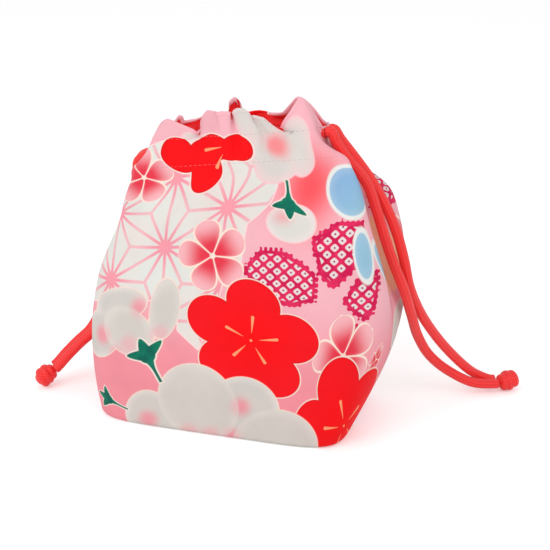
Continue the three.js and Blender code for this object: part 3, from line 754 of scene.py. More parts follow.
def stitch_row(first, height):
    """Capsules of radius R sqrt(1 - 0.98 w^6), w in -1..1, sunk into the cloth by R (0.1 + 0.9 w^4)."""
    fine = first + STITCH_FROM + STITCH_SPAN * np.linspace(0, 1, LINE_STEPS)
    sheet = cloth(np.broadcast_to(fine, (3, LINE_STEPS)), height + np.array([-0.5, 0, 0.5]))
    line, out, up = sheet[1], normals(sheet)[1], sheet[2] - sheet[0]
    up /= np.linalg.norm(up, axis=1, keepdims=True)
    along = running_length(line)
    middles = STITCH_STEP * (np.arange(int(along[-1] // STITCH_STEP)) + 0.5)
    middles = middles[unfolded(middles, along, line)]
    count = len(middles)
    w = np.linspace(-1, 1, STITCH_RINGS)
    place = middles[:, None] + STITCH_LENGTH / 2 * w
    centre, lift, rise = (read_at(place, along, values) for values in (line, out, up))
    radius = STITCH_RADIUS * np.sqrt(1 - 0.98 * w ** 6)
    centre = centre + lift * (-STITCH_RADIUS * (0.1 + 0.9 * w ** 4))[:, None]
    turn = 2 * np.pi * np.arange(STITCH_SIDES) / STITCH_SIDES
    ring = np.cos(turn)[:, None] * lift[:, :, None] + np.sin(turn)[:, None] * rise[:, :, None]
    points = centre[:, :, None] + radius[:, None, None] * ring
    one = grid_quads(STITCH_RINGS, STITCH_SIDES, wrap=True)
    each = STITCH_RINGS * STITCH_SIDES
    quads = (one[None] + each * np.arange(count)[:, None, None]).reshape(-1, 4)
    lid = np.arange(STITCH_SIDES)
    lids = np.concatenate([lid[::-1] + each * np.arange(count)[:, None],
                           lid + each * (np.arange(count)[:, None] + 1) - STITCH_SIDES])
    return points.reshape(-1, 3), [*quads, *lids]


stitches = {}
for name, first in FIRST.items():
    for row, height in STITCH_ROWS.items():
        points, faces = stitch_row(first, height)
        stitches[f"{name}_{row}"] = new_piece(f"sewn_{name}_{row}", points, faces)
        print("stitches", name, row, len(points) // (STITCH_RINGS * STITCH_SIDES))

# %% [markdown]
# ## Riding on the bodies
#
# Cloth, lining, hem, stitches and the loops in the channel go with the bag, and each knot with its
# own body, which slides when the cord is pulled. A free end is not attached to a body: its transform
# is applied to its points and it stays where it is. Each piece says which solid of the CAD part it
# stands for, and that solid is hidden.

# %% Ride on the CAD bodies
def stand_for(piece, body, node):
    """Let a piece go with a body, and stand for a CAD node, which is hidden."""
    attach(piece, body)
    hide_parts(node)


for name in FIRST:
    stand_for(halves[name], "bag", "outer_" + name)
    stand_for(linings[name], "bag", "lining_" + name)
    stand_for(hems[name], "bag", "hem_" + name)
for name, piece in stitches.items():
    stand_for(piece, "bag", "stitches_" + name)
for name, piece in cord_loops.items():
    stand_for(piece, "bag", f"cord_{name}_loop")
for name in ("right", "left"):
    for part in (name, name + "_core"):
        stand_for(knots[part], name + "_knot", "knot_" + name)
for name, piece in free_cords.items():
    side = name.split("_")[0]
    path = metres(PATHS[name])
    side + "_knot"
    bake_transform(piece)
    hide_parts("cord_" + name)
    knots[side + "_core"]
groups = (halves, linings, hems, stitches, cord_loops, knots, free_cords)
print("pieces on the bodies", sum(len(group) for group in groups))

# %% [markdown]
# ## Flat measures of the cloth
#
# The cloth is printed flat and sewn afterwards, so the print needs flat measures: how many millimetres
# a place lies from the middle of its panel, and how far up from the base. Both are lengths along the
# shell, tabled once for each half at every row of the cloth and read off between the table's places.

# %% Flat measures
MARGIN = 0.02  # share that the table goes on past both seams
TABLE = 540
JUST_INSIDE = 1e-6


def flat_table(first):
    """Length along each row from the half's middle, and length up the middle, at every row."""
    share = first - MARGIN + (0.5 + 2 * MARGIN) * np.linspace(0, 1, TABLE + 1)
    share = np.broadcast_to(share, (len(HEIGHTS), TABLE + 1))
    low = np.minimum(HEIGHTS, CHANNEL_TOP)
    plan = body_plan(share, low)
    across = np.cumsum(np.linalg.norm(np.diff(plan, axis=1), axis=2), axis=1)
    across = np.hstack([np.zeros((len(HEIGHTS), 1)), across])
    across -= across[:, TABLE // 2][:, None]
    middle = lifted(plan, low)[:, TABLE // 2]
    up = np.linalg.norm(np.diff(middle, axis=0), axis=1) + np.maximum(np.diff(HEIGHTS - low), 0)
    return across, np.concatenate([[0], np.cumsum(up)])


FLAT = {name: flat_table(first) for name, first in FIRST.items()}


def flat(name, share, height):
    """(across, up) in mm of places on one half, by straight lines between the table's four nearest."""
    share, height = np.broadcast_arrays(np.asarray(share, float), np.asarray(height, float))
    across, up = FLAT[name]
    column = (share - FIRST[name] + MARGIN) / (0.5 + 2 * MARGIN) * TABLE
    column = np.clip(column, 0, TABLE - JUST_INSIDE)
    row = np.interp(height, HEIGHTS, np.arange(len(HEIGHTS)))
    row = np.clip(row, 0, len(HEIGHTS) - 1 - JUST_INSIDE)
    c, r = column.astype(int), row.astype(int)
    along, over = column - c, row - r
    below = across[r, c] * (1 - along) + across[r, c + 1] * along
    above = across[r + 1, c] * (1 - along) + across[r + 1, c + 1] * along
    return np.stack([below * (1 - over) + above * over, np.interp(height, HEIGHTS, up)], -1)


for name, (across, up) in FLAT.items():
    print(name, "half: base", round(np.ptp(across[0])), "mm wide, neck", round(np.ptp(across[-1])),
          "mm, height", round(up[-1]), "mm")

# %% [markdown]
# ## Motifs of the print
#
# The print has motifs that such pouches have had for centuries: plum and cherry blossom, buds on a
# green calyx, hemp-leaf stars and fawn-spot tie-dye. Each is drawn once, in coordinates of its own
# where its petals end at distance 1, and laid on the cloth by saying where its middle and a few of its
# tips come. The map between the two is the flat map (turn, size and slant) that fits them best.

# %% Laying a motif
PETAL_AT, PETAL_RADIUS = 0.6, 0.42  # of a blossom's size


def fitted(places, own):
    """2 x 3 matrix M with M (s, t, 1) nearest to (x, y), by least squares."""
    return np.linalg.lstsq(np.column_stack([places, np.ones(len(places))]), own, rcond=None)[0].T


def by_points(name, places, own):
    """A motif with the given own coordinates at the given places."""
    return fitted(flat(name, *np.array(places).T), np.array(own, float))


def by_tips(name, places, angles):
    """A motif with its middle at the first place and its tips, at angles in degrees, at the others."""
    turn = np.radians(angles)
    return by_points(name, places, np.vstack([[0, 0], np.stack([np.cos(turn), np.sin(turn)], 1)]))


def by_size(name, share, height, size, turn=0.0):
    """A motif of a size in mm, turned by degrees: (p - centre) / size, turned back."""
    centre = flat(name, share, height)
    c, s = math.cos(math.radians(turn)) / size, math.sin(math.radians(turn)) / size
    return np.array([[c, s, -c * centre[0] - s * centre[1]], [-s, c, s * centre[0] - c * centre[1]]])


def oval(name, centre, right, top):
    """A round petal from its middle and the points at its right and its top: M maps it to radius 1."""
    return by_points(name, [centre, right, top], [(0, 0), (1, 0), (0, 1)])


def rosette(name, share, height, size, turn):
    """Five ovals: the middles of a blossom's petals lie at PETAL_AT of its size from its own middle."""
    angles = np.radians(90 + 72 * np.arange(5))
    out = []
    for middle in PETAL_AT * np.stack([np.cos(angles), np.sin(angles)], 1):
        petal = by_size(name, share, height, size, turn)
        petal[:, 2] -= middle
        out.append(petal / PETAL_RADIUS)
    return out


# %% Where the motifs come
BUD = [(0, 0), (0, -1), (-1, 0), (1, 0), (0, 1)]  # middle, below, left, right, above
LOBES = [(0, 0), (0, 1.8), (-0.9, -0.42), (0, -0.8), (0.9, -0.42)]  # middle, stem, three leaves
MOTIFS = {
    "front": {
        "plum": [
            by_tips("front", [(0.2843, 61.2), (0.2764, 100), (0.2056, 76.3), (0.2445, 41),
                              (0.3356, 35.2), (0.365, 66.3)], [90, 162, 234, 306, 18]),
            by_tips("front", [(0.4334, 12.4), (0.4042, 54.4), (0.3488, 15.5), (0.4315, 45.2)],
                    [90, 162, 18]),
        ],
        "sakura": [
            by_tips("front", [(0.2264, 105.3), (0.2174, 128), (0.1788, 107.8), (0.2191, 89.6),
                              (0.2609, 97.3), (0.265, 116.9)], [90, 162, 234, 306, 18]),
            by_tips("front", [(0.0746, 151.1), (0.0647, 165.1), (0.0729, 135.9), (0.1285, 137.5),
                              (0.1348, 154.4)], [90, 234, 306, 18]),
            by_tips("front", [(0.3938, 61.3), (0.3645, 75.5), (0.3671, 42.3), (0.4041, 76),
                              (0.4249, 61.9)], [126, 198, 54, 342]),
            by_tips("front", [(0.4364, 54.2), (0.4378, 63.8), (0.4296, 45.7)], [90, 234]),
        ],
        "bud": [
            by_points("front", [(0.3338, 126.4), (0.3289, 116.2), (0.3011, 125.9), (0.3658, 124.8),
                                (0.3306, 133.6)], BUD),
        ],
        "calyx": [
            by_points("front", [(0.3287, 132.8), (0.3243, 145.4), (0.3095, 134.3), (0.3264, 128),
                                (0.3555, 129.6)], LOBES),
            by_points("front", [(0.1667, 46.3), (0.18, 31.8), (0.1366, 43.2), (0.1476, 56.4),
                                (0.1781, 55.8)], LOBES),
            by_points("front", [(0.1103, 14.1), (0.1321, 9.3), (0.0967, 21.2), (0.0904, 7.7)],
                      [LOBES[0], LOBES[1], LOBES[4], LOBES[2]]),
        ],
    },
    "back": {
        "plum": [by_size("back", 0.70, 62, 44, 10), by_size("back", 0.87, 128, 34, 40),
                 by_size("back", 0.955, 24, 40, 25)],
        "sakura": [by_size("back", 0.80, 108, 26, 12), by_size("back", 0.585, 98, 24, 50),
                   by_size("back", 0.90, 66, 25, 30), by_size("back", 0.635, 150, 20, 0)],
        "bud": [by_size("back", 0.665, 116, 15, 0), by_size("back", 0.84, 88, 13, 30)],
        "calyx": [by_size("back", 0.668, 130, 9, 0), by_size("back", 0.84, 99, 8, 30),
                  by_size("back", 0.62, 22, 10, 140)],
    },
}

# %% [markdown]
# Some blossoms are cut by a fold or lie over each other, and of these each petal is placed on its own
# as an oval. What goes on the cloth is the distance to the edge of the nearest oval of a set.

# %% Single petals
def ovals_front(*triples):
    """Ovals on the front, each from three places."""
    return [oval("front", *triple) for triple in triples]


SEAM_BLUE = [[(0.4175, 110), (0.4285, 109.3), (0.4215, 120)], [(0.458, 101), (0.472, 99), (0.446, 113)]]
# pale petals by the right seam, beside the cord, that are painted peach: a painted reflection of the
# red cord
SEAM_CORD_REFLECTION = [[(0.5136, 104.3), (0.5276, 104.3), (0.5258, 118.5)],
              [(0.526, 94.8), (0.5399, 93.2), (0.5336, 109)],
              [(0.497, 92), (0.512, 90), (0.5, 104)]]
PETALS = {
    "front": {
        "near": ovals_front([(0.2302, 21), (0.2806, 23.5), (0.2189, 45.3)],
                            [(0.3434, -0.4), (0.392, 4.1), (0.324, 23)],
                            [(0.1753, 75.3), (0.1932, 77.4), (0.1715, 92.3)],
                            [(0.1328, 59), (0.1656, 60), (0.1223, 72.6)]),
        "far": ovals_front([(0.2913, 23.1), (0.3326, 24.9), (0.282, 41.2)],
                           [(0.1619, 9.3), (0.1932, 10.4), (0.1647, 24.6)],
                           [(0.2554, 6.6), (0.3561, 6.2), (0.2514, 23.4)],
                           [(0.1159, 73.4), (0.1513, 77.4), (0.1131, 83.2)],
                           [(0.0919, 53.6), (0.1241, 56.8), (0.0908, 67.9)]),
        "red": ovals_front([(0.1452, 161.2), (0.183, 159.6), (0.1402, 171.6)],
                           [(0.2001, 151), (0.2236, 148.5), (0.2175, 162.2)],
                           [(0.2153, 163.8), (0.2476, 163.6), (0.2158, 171.5)],
                           [(0.2634, 163.2), (0.2938, 161.7), (0.2644, 170.5)],
                           [(0.1962, 162.9), (0.2219, 162.7), (0.1967, 169)],
                           [(0.2508, 161.8), (0.2768, 161.4), (0.2511, 167.2)]),
        "pale": ovals_front([(0.378, 163.5), (0.407, 163), (0.351, 147)],
                            [(0.322, 152.8), (0.3572, 152.2), (0.3407, 161.8)],
                            [(0.3136, 158.3), (0.3432, 156.9), (0.3146, 170.8)],
                            [(0.285, 179), (0.3075, 179), (0.285, 166)],
                            [(0.328, 177), (0.354, 177), (0.328, 163)],
                            [(0.306, 174), (0.325, 174), (0.306, 163)],
                            [(0.338, 159.7), (0.363, 159.1), (0.3103, 146.2)],
                            [(0.172, 175), (0.19, 175), (0.172, 179)]),
        "blue": ovals_front([(0.419, 138), (0.456, 137), (0.4283, 149)], *SEAM_BLUE),
        "cord_reflection": ovals_front(*SEAM_CORD_REFLECTION),
    },
    "back": {
        "near": rosette("back", 0.775, 12, 46, 20)[::2],
        "far": rosette("back", 0.775, 12, 46, 20)[1::2] + rosette("back", 0.57, 48, 36, 60),
        "red": rosette("back", 0.765, 180, 30, 10),
        "pale": rosette("back", 0.9, 18, 30, 0),
        "blue": rosette("back", 0.68, 141, 27, 25),
        "cord_reflection": [oval("back", *triple) for triple in SEAM_CORD_REFLECTION],
    },
}
BLUSH = {
    "front": [(0.1444, 73.7), (0.0969, 53.6), (0.1226, 44.9), (0.1368, 51.3), (0.1745, 60),
              (0.285, 22.7), (0.1619, 5.2), (0.22, 1), (0.25, 1), (0.279, 2), (0.34, 163)],
    "back": [(0.775, 12), (0.57, 48), (0.82, 24), (0.74, 27)],
}
BLUSH_SIZE = 7.0  # in millimetres
STAMENS = {
    "front": [((0.2362, 164.3), (0.2029, 162.8)), ((0.2372, 160.5), (0.2192, 153.2))],
    "back": [],
}

# %% [markdown]
# Two grounds are patterns that fill a patch. The hemp-leaf stars stand on a triangular net, which is
# fitted to the places of five stars, and the tie-dye spots on a slanted net of small squares. Each
# patch is a polygon, and the distance to its edge goes on the cloth with the pattern's coordinates.

# %% Patterned patches
def net(name, places, steps):
    """H of a triangular net, whose steps (i, j) reach (i + j / 2, j sqrt(3) / 2), fitted to places."""
    i, j = np.array(steps, float).T
    return by_points(name, places, np.stack([i + j / 2, j * math.sqrt(3) / 2], 1))


STARS = {
    "front": net("front", [(0.1574, 111.7), (0.2402, 133.6), (0.1578, 146.6), (0.0627, 129.6),
                           (0.1029, 85.3)], [(0, 0), (1, 0), (0, 1), (-1, 1), (-1, 0)]),
    "back": net("back", [(0.75, 95), (0.83, 95), (0.79, 130)], [(0, 0), (1, 0), (0, 1)]),
}
STAR_PATCH = {
    "front": [[(0.303, 160), (0.312, 152), (0.312, 143), (0.303, 135), (0.286, 129), (0.272, 125),
               (0.2674, 114.2), (0.2647, 105.5), (0.2417, 92.3), (0.2241, 54.2), (0.1948, 64.2),
               (0.1901, 81.3), (0.1161, 76.4), (0.0688, 70.5), (-0.02, 66), (-0.02, 158), (0.05, 165),
               (0.1, 169), (0.14, 172), (0.2, 172)]],
    "back": [[(0.76, 78), (0.72, 100), (0.735, 132), (0.79, 150), (0.86, 160), (1.02, 176), (1.02, 60),
              (0.93, 50), (0.86, 64)]],
}
DOT_BASIS = np.array([[3.9, 3.2], [-3.9, 3.2]])  # the two steps from spot to spot, in millimetres
DOT_PATCHES = {
    "front": [
        [(0.2685, 102), (0.291, 112.2), (0.3172, 112.2), (0.343, 105.9), (0.356, 101.1), (0.3523, 89.1),
         (0.326, 85), (0.285, 88)],
        [(0.3575, 118), (0.3959, 125.6), (0.428, 123.9), (0.4028, 104.8), (0.3741, 95.9),
         (0.3624, 101.1)],
        [(0.4071, 101.1), (0.434, 102.7), (0.4317, 97.9), (0.418, 82.5), (0.4093, 79.4), (0.3913, 85.8),
         (0.3859, 89.8)],
        [(0.383, 76), (0.4, 77), (0.398, 66), (0.39, 62)],
        [(0.331, 44), (0.345, 44), (0.345, 40), (0.333, 39)],
    ],
    "back": [
        [(0.64, 82), (0.66, 94), (0.70, 96), (0.735, 88), (0.73, 70), (0.69, 66), (0.65, 70)],
        [(0.52, 100), (0.55, 112), (0.6, 112), (0.63, 100), (0.6, 84), (0.54, 82)],
        [(0.82, 40), (0.86, 50), (0.9, 46), (0.91, 32), (0.86, 26)],
        [(0.525, 122), (0.545, 146), (0.575, 150), (0.59, 136), (0.56, 122)],
    ],
}
CORAL = {"front": [((0.36, 141), (18, 25))],
         "back": [((0.69, 122), (22, 24)), ((0.93, 100), (20, 26))]}


def to_edge(points, corners):
    """Distance from points to a polygon's edge, less than 0 inside: least over its sides."""
    nearest = np.full(len(points), np.inf)
    inside = np.zeros(len(points), bool)
    for a, b in zip(corners, np.roll(corners, -1, axis=0)):
        side, away = b - a, points - a
        part = np.clip(away @ side / (side @ side), 0, 1)
        nearest = np.minimum(nearest, np.linalg.norm(away - part[:, None] * side, axis=1))
        rise = b[1] - a[1] if b[1] != a[1] else 1e-9
        crosses = ((a[1] > points[:, 1]) != (b[1] > points[:, 1]))
        inside ^= crosses & (points[:, 0] < a[0] + (points[:, 1] - a[1]) / rise * side[0])
    return np.where(inside, -nearest, nearest)


def to_patches(name, points, patches):
    """Distance to the nearest patch, less than 0 inside one."""
    polygons = [flat(name, *np.array(patch).T) for patch in patches]
    return np.min([to_edge(points, polygon) for polygon in polygons], axis=0)


print("motifs on the front", {kind: len(laid) for kind, laid in MOTIFS["front"].items()})

# %% [markdown]
# The print then goes on a piece as attributes at the corners of its faces. For each kind of motif a
# corner gets its place in the own coordinates of the motif that is nearest to the face's middle. All
# corners of a face use the same motif, so nothing is smeared where two of a kind meet.

# %% Printing a piece
FAR = 99.0  # distance where there is nothing to draw


def moved(matrix, points):
    """(x, y) = M (s, t, 1)."""
    return (matrix[..., :2] @ points[..., None])[..., 0] + matrix[..., 2]


def to_ovals(ovals, points):
    """Distance in mm to the edge of the nearest oval: (|M p| - 1) / sqrt(det M), less than 0 inside."""
    sizes = [1 / math.sqrt(abs(np.linalg.det(m[:, :2]))) for m in ovals]
    away = [(np.linalg.norm(moved(m, points), axis=1) - 1) * size for m, size in zip(ovals, sizes)]
    return np.min(away, axis=0)


def to_stamens(name, points):
    """Distance to tapered strokes: to the line, less a radius that grows from 0.1 to 0.9 mm."""
    away = [np.full(len(points), FAR)]
    for start, end in STAMENS[name]:
        a, b = flat(name, *start), flat(name, *end)
        part = np.clip((points - a) @ (b - a) / ((b - a) @ (b - a)), 0, 1)
        away.append(np.linalg.norm(points - a - part[:, None] * (b - a), axis=1) - 0.1 - 0.8 * part)
    return np.min(away, axis=0)


def put(mesh, name, values):
    """Values of three numbers for each corner of a mesh, as a named attribute."""
    layer = mesh.attributes.new(name, "FLOAT_VECTOR", "CORNER")
    layer.data.foreach_set("vector", np.ascontiguousarray(values, np.float32).ravel())


def print_on(piece, name, share, height):
    """Every kind of motif as an attribute of a piece, whose points have these shares and heights."""
    mesh = piece.data
    corner_point = np.empty(len(mesh.loops), np.int32)
    mesh.loops.foreach_get("vertex_index", corner_point)
    total = np.empty(len(mesh.polygons), np.int32)
    mesh.polygons.foreach_get("loop_total", total)
    face = np.repeat(np.arange(len(total)), total)
    points = flat(name, share, height)[corner_point]
    middle = np.stack([np.bincount(face, points[:, k]) for k in (0, 1)], 1) / total[:, None]
    for kind, laid in MOTIFS[name].items():
        matrices = np.array(laid)
        reach = np.stack([np.linalg.norm(moved(matrix, middle), axis=1) for matrix in matrices])
        chosen = reach.argmin(0)[face]
        put(mesh, kind, np.column_stack([moved(matrices[chosen], points), chosen]))
    petals = {kind: to_ovals(ovals, points) for kind, ovals in PETALS[name].items()}
    blush = [np.exp(-((points - flat(name, *at)) ** 2).sum(1) / BLUSH_SIZE ** 2) for at in BLUSH[name]]
    put(mesh, "petals", np.column_stack([petals["near"], petals["far"], np.max(blush, axis=0)]))
    put(mesh, "reds", np.column_stack([petals["red"], to_stamens(name, points), petals["pale"]]))
    put(mesh, "blues", np.column_stack([petals["blue"], petals["cord_reflection"], points[:, 1] - points[:, 0]]))
    put(mesh, "star", np.column_stack([moved(STARS[name], points),
                                       to_patches(name, points, STAR_PATCH[name])]))
    put(mesh, "dots", np.column_stack([points @ np.linalg.inv(DOT_BASIS),
                                       to_patches(name, points, DOT_PATCHES[name])]))
    clouds = [np.exp(-(((points - flat(name, *at)) / size) ** 2).sum(1)) for at, size in CORAL[name]]
    put(mesh, "ground", np.column_stack([points, np.max(clouds, axis=0)]))
    return len(corner_point)


for name, first in FIRST.items():
    share = np.tile(shares[name].ravel(), 2)
    height = np.tile(np.repeat(HEIGHTS, COLUMNS), 2)
    edge_share = np.tile(even_shares(first, HEM_COLUMNS), len(HEM_PROFILE))
    corners = print_on(halves[name], name, share, height)
    print_on(hems[name], name, edge_share, np.full(len(edge_share), RIM))
    print("printed", corners, "corners of the", name)

# %% [markdown]
# ## Drawing with nodes
#
# A print is arithmetic on coordinates, and arithmetic reads best as arithmetic. A wire stands for a
# node's output, and sums, products and differences of wires make the Math nodes that they name. One
# more method makes any other node, settings first and then its inputs.

# %% Wires
class Wire:
    """A node's output that takes part in sums: wires and numbers mix freely, also as 1 - wire."""

    def __init__(self, tree, out=None):
        self.tree = tree
        self.out = out

    def node(self, kind, settings=None, inputs=None, result=0):
        """The output of a new node: first its settings, then its inputs by number or name."""
        made = self.tree.nodes.new(kind)
        for name, value in (settings or {}).items():
            setattr(made, name, value)
        for key, value in (inputs or {}).items():
            if isinstance(value, Wire):
                self.tree.links.new(value.out, made.inputs[key])
            else:
                made.inputs[key].default_value = value
        return Wire(self.tree, made.outputs[result])

    def math(self, operation, *others):
        """A Math node with this wire first, and wires or numbers after it."""
        return self.node("ShaderNodeMath", {"operation": operation}, dict(enumerate((self, *others))))

    # wire + other, wire - other, wire * other, wire / other and other - wire, each one Math node
    def __add__(self, other):
        return self.math("ADD", other)

    def __sub__(self, other):
        return self.math("SUBTRACT", other)

    def __mul__(self, other):
        return self.math("MULTIPLY", other)

    def __truediv__(self, other):
        return self.math("DIVIDE", other)

    def __rsub__(self, other):
        return self.node("ShaderNodeMath", {"operation": "SUBTRACT"}, {0: other, 1: self})

    __radd__ = __add__
    __rmul__ = __mul__

    def parts(self):
        """The three parts of a vector."""
        first = self.node("ShaderNodeSeparateXYZ", None, {0: self})
        return [Wire(self.tree, out) for out in first.out.node.outputs]

    def attribute(self, name):
        """The three parts of a piece's attribute."""
        return self.node("ShaderNodeAttribute", {"attribute_name": name}, None, "Vector").parts()

    def rise(self, low, high):
        """Soft step from 0 at low to 1 at high."""
        settings = {"interpolation_type": "SMOOTHSTEP"}
        return self.node("ShaderNodeMapRange", settings, {0: self, 1: low, 2: high})

    def under(self, edge, soft):
        """1 where the wire is below an edge, 0 above, soft over a width."""
        return 1 - self.rise(edge - soft, edge + soft)

    def near(self, place, width):
        """1 at a place and 0 a width away from it."""
        return 1 - (self - place).math("ABSOLUTE").rise(0, width)

    def blend(self, first, second, factor):
        """Colour first where factor is 0, second where it is 1. Three numbers are a screen colour."""
        first, second = (ink(*c) if isinstance(c, tuple) else c for c in (first, second))
        return self.node("ShaderNodeMix", {"data_type": "RGBA"}, {0: factor, 6: first, 7: second}, 2)

    def times(self, factor):
        """A colour made lighter or darker by a factor."""
        return self.node("ShaderNodeVectorMath", {"operation": "SCALE"}, {0: self, "Scale": factor})

    def place(self):
        """Where a point lies on the object, in metres."""
        return self.node("ShaderNodeTexCoord", None, None, "Object")

    def noise(self, scale, detail=2.0):
        """Noise in 0..1 with a scale per millimetre of the object."""
        inputs = {"Vector": self.place(), "Scale": scale * 1000, "Detail": detail}
        return self.node("ShaderNodeTexNoise", None, inputs)


# %% Colours, materials and bumps
def ink(red, green, blue):
    """Linear colour of a screen colour in 0..255: ((c + 0.055) / 1.055)^2.4."""
    c = np.array([red, green, blue]) / 255
    linear = np.where(c <= 0.04045, c / 12.92, ((c + 0.055) / 1.055) ** 2.4)
    return (*linear.tolist(), 1.0)


def finish_of(name, **constants):
    """A new material, a wire to start from, and its shader with constants set on its inputs."""
    material = bpy.data.materials.new(name)
    material.use_nodes = True
    shader = material.node_tree.nodes["Principled BSDF"]
    for key, value in constants.items():
        shader.inputs[key.replace("_", " ")].default_value = value
    return material, Wire(material.node_tree), shader


def join(wire, shader, key):
    """Let a wire feed one of a shader's inputs."""
    wire.tree.links.new(wire.out, shader.inputs[key])


def bump_of(height, distance):
    """A normal from a height wire in 0..1 that stands for a distance in millimetres."""
    inputs = {"Strength": 1.0, "Distance": distance / 1000, "Height": height}
    return height.node("ShaderNodeBump", None, inputs)


# %% [markdown]
# ## The motifs, drawn
#
# A blossom's five petals are one petal folded round: the angle goes to and fro between 0 and 36
# degrees, which gives u along the nearest petal and v away from it. Round plum petals are circles,
# cherry petals are drops, and each kind has its own shading from the middle outwards.

# %% Blossom coordinates
def blossom(wire, kind):
    """u along the nearest of five petals, v away from it, and the distance r from the middle."""
    x, y, _ = wire.attribute(kind)
    r = (x * x + y * y).math("SQRT")
    away = (y.math("ARCTAN2", x) - math.pi / 2).math("PINGPONG", math.pi / 5)
    return r * away.math("COSINE"), r * away.math("SINE"), r


def length(a, b):
    """sqrt(a^2 + b^2)."""
    return (a * a + b * b).math("SQRT")


# %% Plum and cherry blossoms
def draw_plum(wire, below):
    """Red plum blossom: circles at u = 0.6, a pale line round it, five strokes that swell, a dot."""
    u, v, r = blossom(wire, "plum")
    edge = (length(u - 0.6, v) - 0.4).math("MINIMUM", r - 0.42)
    red = wire.blend((255, 4, 14), (252, 14, 28), r.rise(0.1, 1))
    red = wire.blend(red, (170, 4, 22), edge.near(-0.004, 0.014) * 0.6)
    along = u.math("MAXIMUM", 0.13).math("MINIMUM", 0.39)
    stamen = length(u - along, v) - (along - 0.1) * 0.085
    dot = r - 0.02
    red = wire.blend(red, (255, 165, 118), stamen.math("MINIMUM", dot).under(0, 0.006))
    halo = wire.blend(below, (255, 226, 210), edge.under(0.018, 0.008))
    return wire.blend(halo, red, edge.under(0, 0.006))


def draw_sakura(wire, below):
    """Cherry blossom: petals of half width 1.1 u^1.25 (1 - u)^0.55, red within and pink without."""
    u, v, r = blossom(wire, "sakura")
    inner = u.math("MAXIMUM", 0.001)
    half = 1.1 * inner.math("POWER", 1.25) * (1 - inner).math("MAXIMUM", 0).math("POWER", 0.55)
    edge = v - half
    petal = wire.blend((236, 58, 78), (252, 186, 192), u.rise(0.28, 0.95))
    petal = wire.blend(petal, (250, 170, 176), (v / half.math("MAXIMUM", 0.02)).rise(0.55, 1.2) * 0.5)
    petal = wire.blend(petal, (255, 236, 222), r.under(0.08, 0.03))
    line = wire.blend(below, (255, 232, 216), edge.under(0.05, 0.014) * r.under(1.03, 0.02))
    return wire.blend(line, petal, edge.under(-0.008, 0.012) * u.under(1, 0.01))


# %% Petals placed one by one
def draw_reds(wire, below):
    """Pale petals, and over them red ones with a maroon edge, a pale line round it and stamens."""
    red_edge, stamen, pale_edge = wire.attribute("reds")
    _, _, blush = wire.attribute("petals")
    pale = wire.blend((224, 217, 212), (238, 214, 212), pale_edge.rise(-7, 0))
    pale = wire.blend(pale, (255, 118, 126), (blush - 0.05).rise(0, 0.9) * 0.8)
    line = wire.blend(below, (250, 205, 208), pale_edge.under(0.9, 0.5))
    below = wire.blend(line, pale, pale_edge.under(0, 0.7))
    red = wire.blend((254, 5, 16), (160, 6, 22), red_edge.near(-0.2, 0.6) * 0.7)
    red = wire.blend(red, (255, 165, 118), stamen.under(0, 0.15))
    line = wire.blend(below, (255, 226, 218), red_edge.under(0.9, 0.3))
    return wire.blend(line, red, red_edge.under(0, 0.2))


def draw_white(wire, below):
    """White petals, the far ones first: a pale line round them all and a soft blush between them."""
    near_edge, far_edge, blush = wire.attribute("petals")
    line = wire.blend(below, (250, 226, 212), near_edge.math("MINIMUM", far_edge).under(0.7, 0.4))
    far = wire.blend((216, 210, 204), (228, 221, 215), far_edge.rise(-5, 0))
    far = wire.blend(far, (250, 140, 156), (blush - 0.1).rise(0, 0.9) * 0.75)
    line = wire.blend(line, far, far_edge.under(0, 0.5))
    line = wire.blend(line, (228, 220, 214), near_edge.under(0.9, 0.9) * far_edge.under(0, 0.5) * 0.6)
    near = wire.blend((217, 211, 204), (225, 218, 211), near_edge.rise(-6, 0))
    near = wire.blend(near, (250, 160, 172), (blush - 0.1).rise(0, 0.9) * 0.5)
    return wire.blend(line, near, near_edge.under(0, 0.5))


def draw_blue(wire, below):
    """Blue petals with a broad white border and, beside them, pale petals painted peach, a painted
    reflection of the red cord.
    """
    edge, cord_reflection_edge, slant = wire.attribute("blues")
    # painted reflection: pale petals beside the cord take a peach tint that stands for red light from
    # the cord
    below = wire.blend(below, (252, 196, 160), cord_reflection_edge.under(0, 1.2))
    blue = wire.blend((152, 197, 220), (138, 178, 222), (slant - 60).rise(-10, 50))
    blue = wire.blend(blue, (176, 206, 228), edge.rise(-5, 0) * 0.5)
    border = wire.blend(below, (238, 238, 234), edge.under(1.9, 0.6))
    return wire.blend(border, blue, edge.under(0, 0.35))


# %% Buds and their calyx
def draw_bud(wire, below):
    """Round white bud with a blush from one side and a thin pale pink line round it."""
    x, y, _ = wire.attribute("bud")
    r = length(x, y)
    white = wire.blend((228, 224, 218), (238, 226, 224), r.rise(0.6, 1))
    blush = length(x + 0.35, y - 0.3).under(0.25, 0.5)
    white = wire.blend(white, (250, 140, 150), blush * 0.75)
    line = wire.blend(below, (252, 206, 206), r.under(1.05, 0.015))
    return wire.blend(line, white, r.under(0.98, 0.02))


def lobe(x, y, turn):
    """Distance to a leaf that runs along a direction: |across| - 0.36 (1 - along)^0.55, capped."""
    c, s = math.cos(math.radians(turn)), math.sin(math.radians(turn))
    along = x * c + y * s
    across = (y * c - x * s).math("ABSOLUTE")
    width = 0.36 * (1 - along).math("MAXIMUM", 0).math("POWER", 0.55)
    return (across - width).math("MAXIMUM", -1 * along).math("MAXIMUM", along - 1)


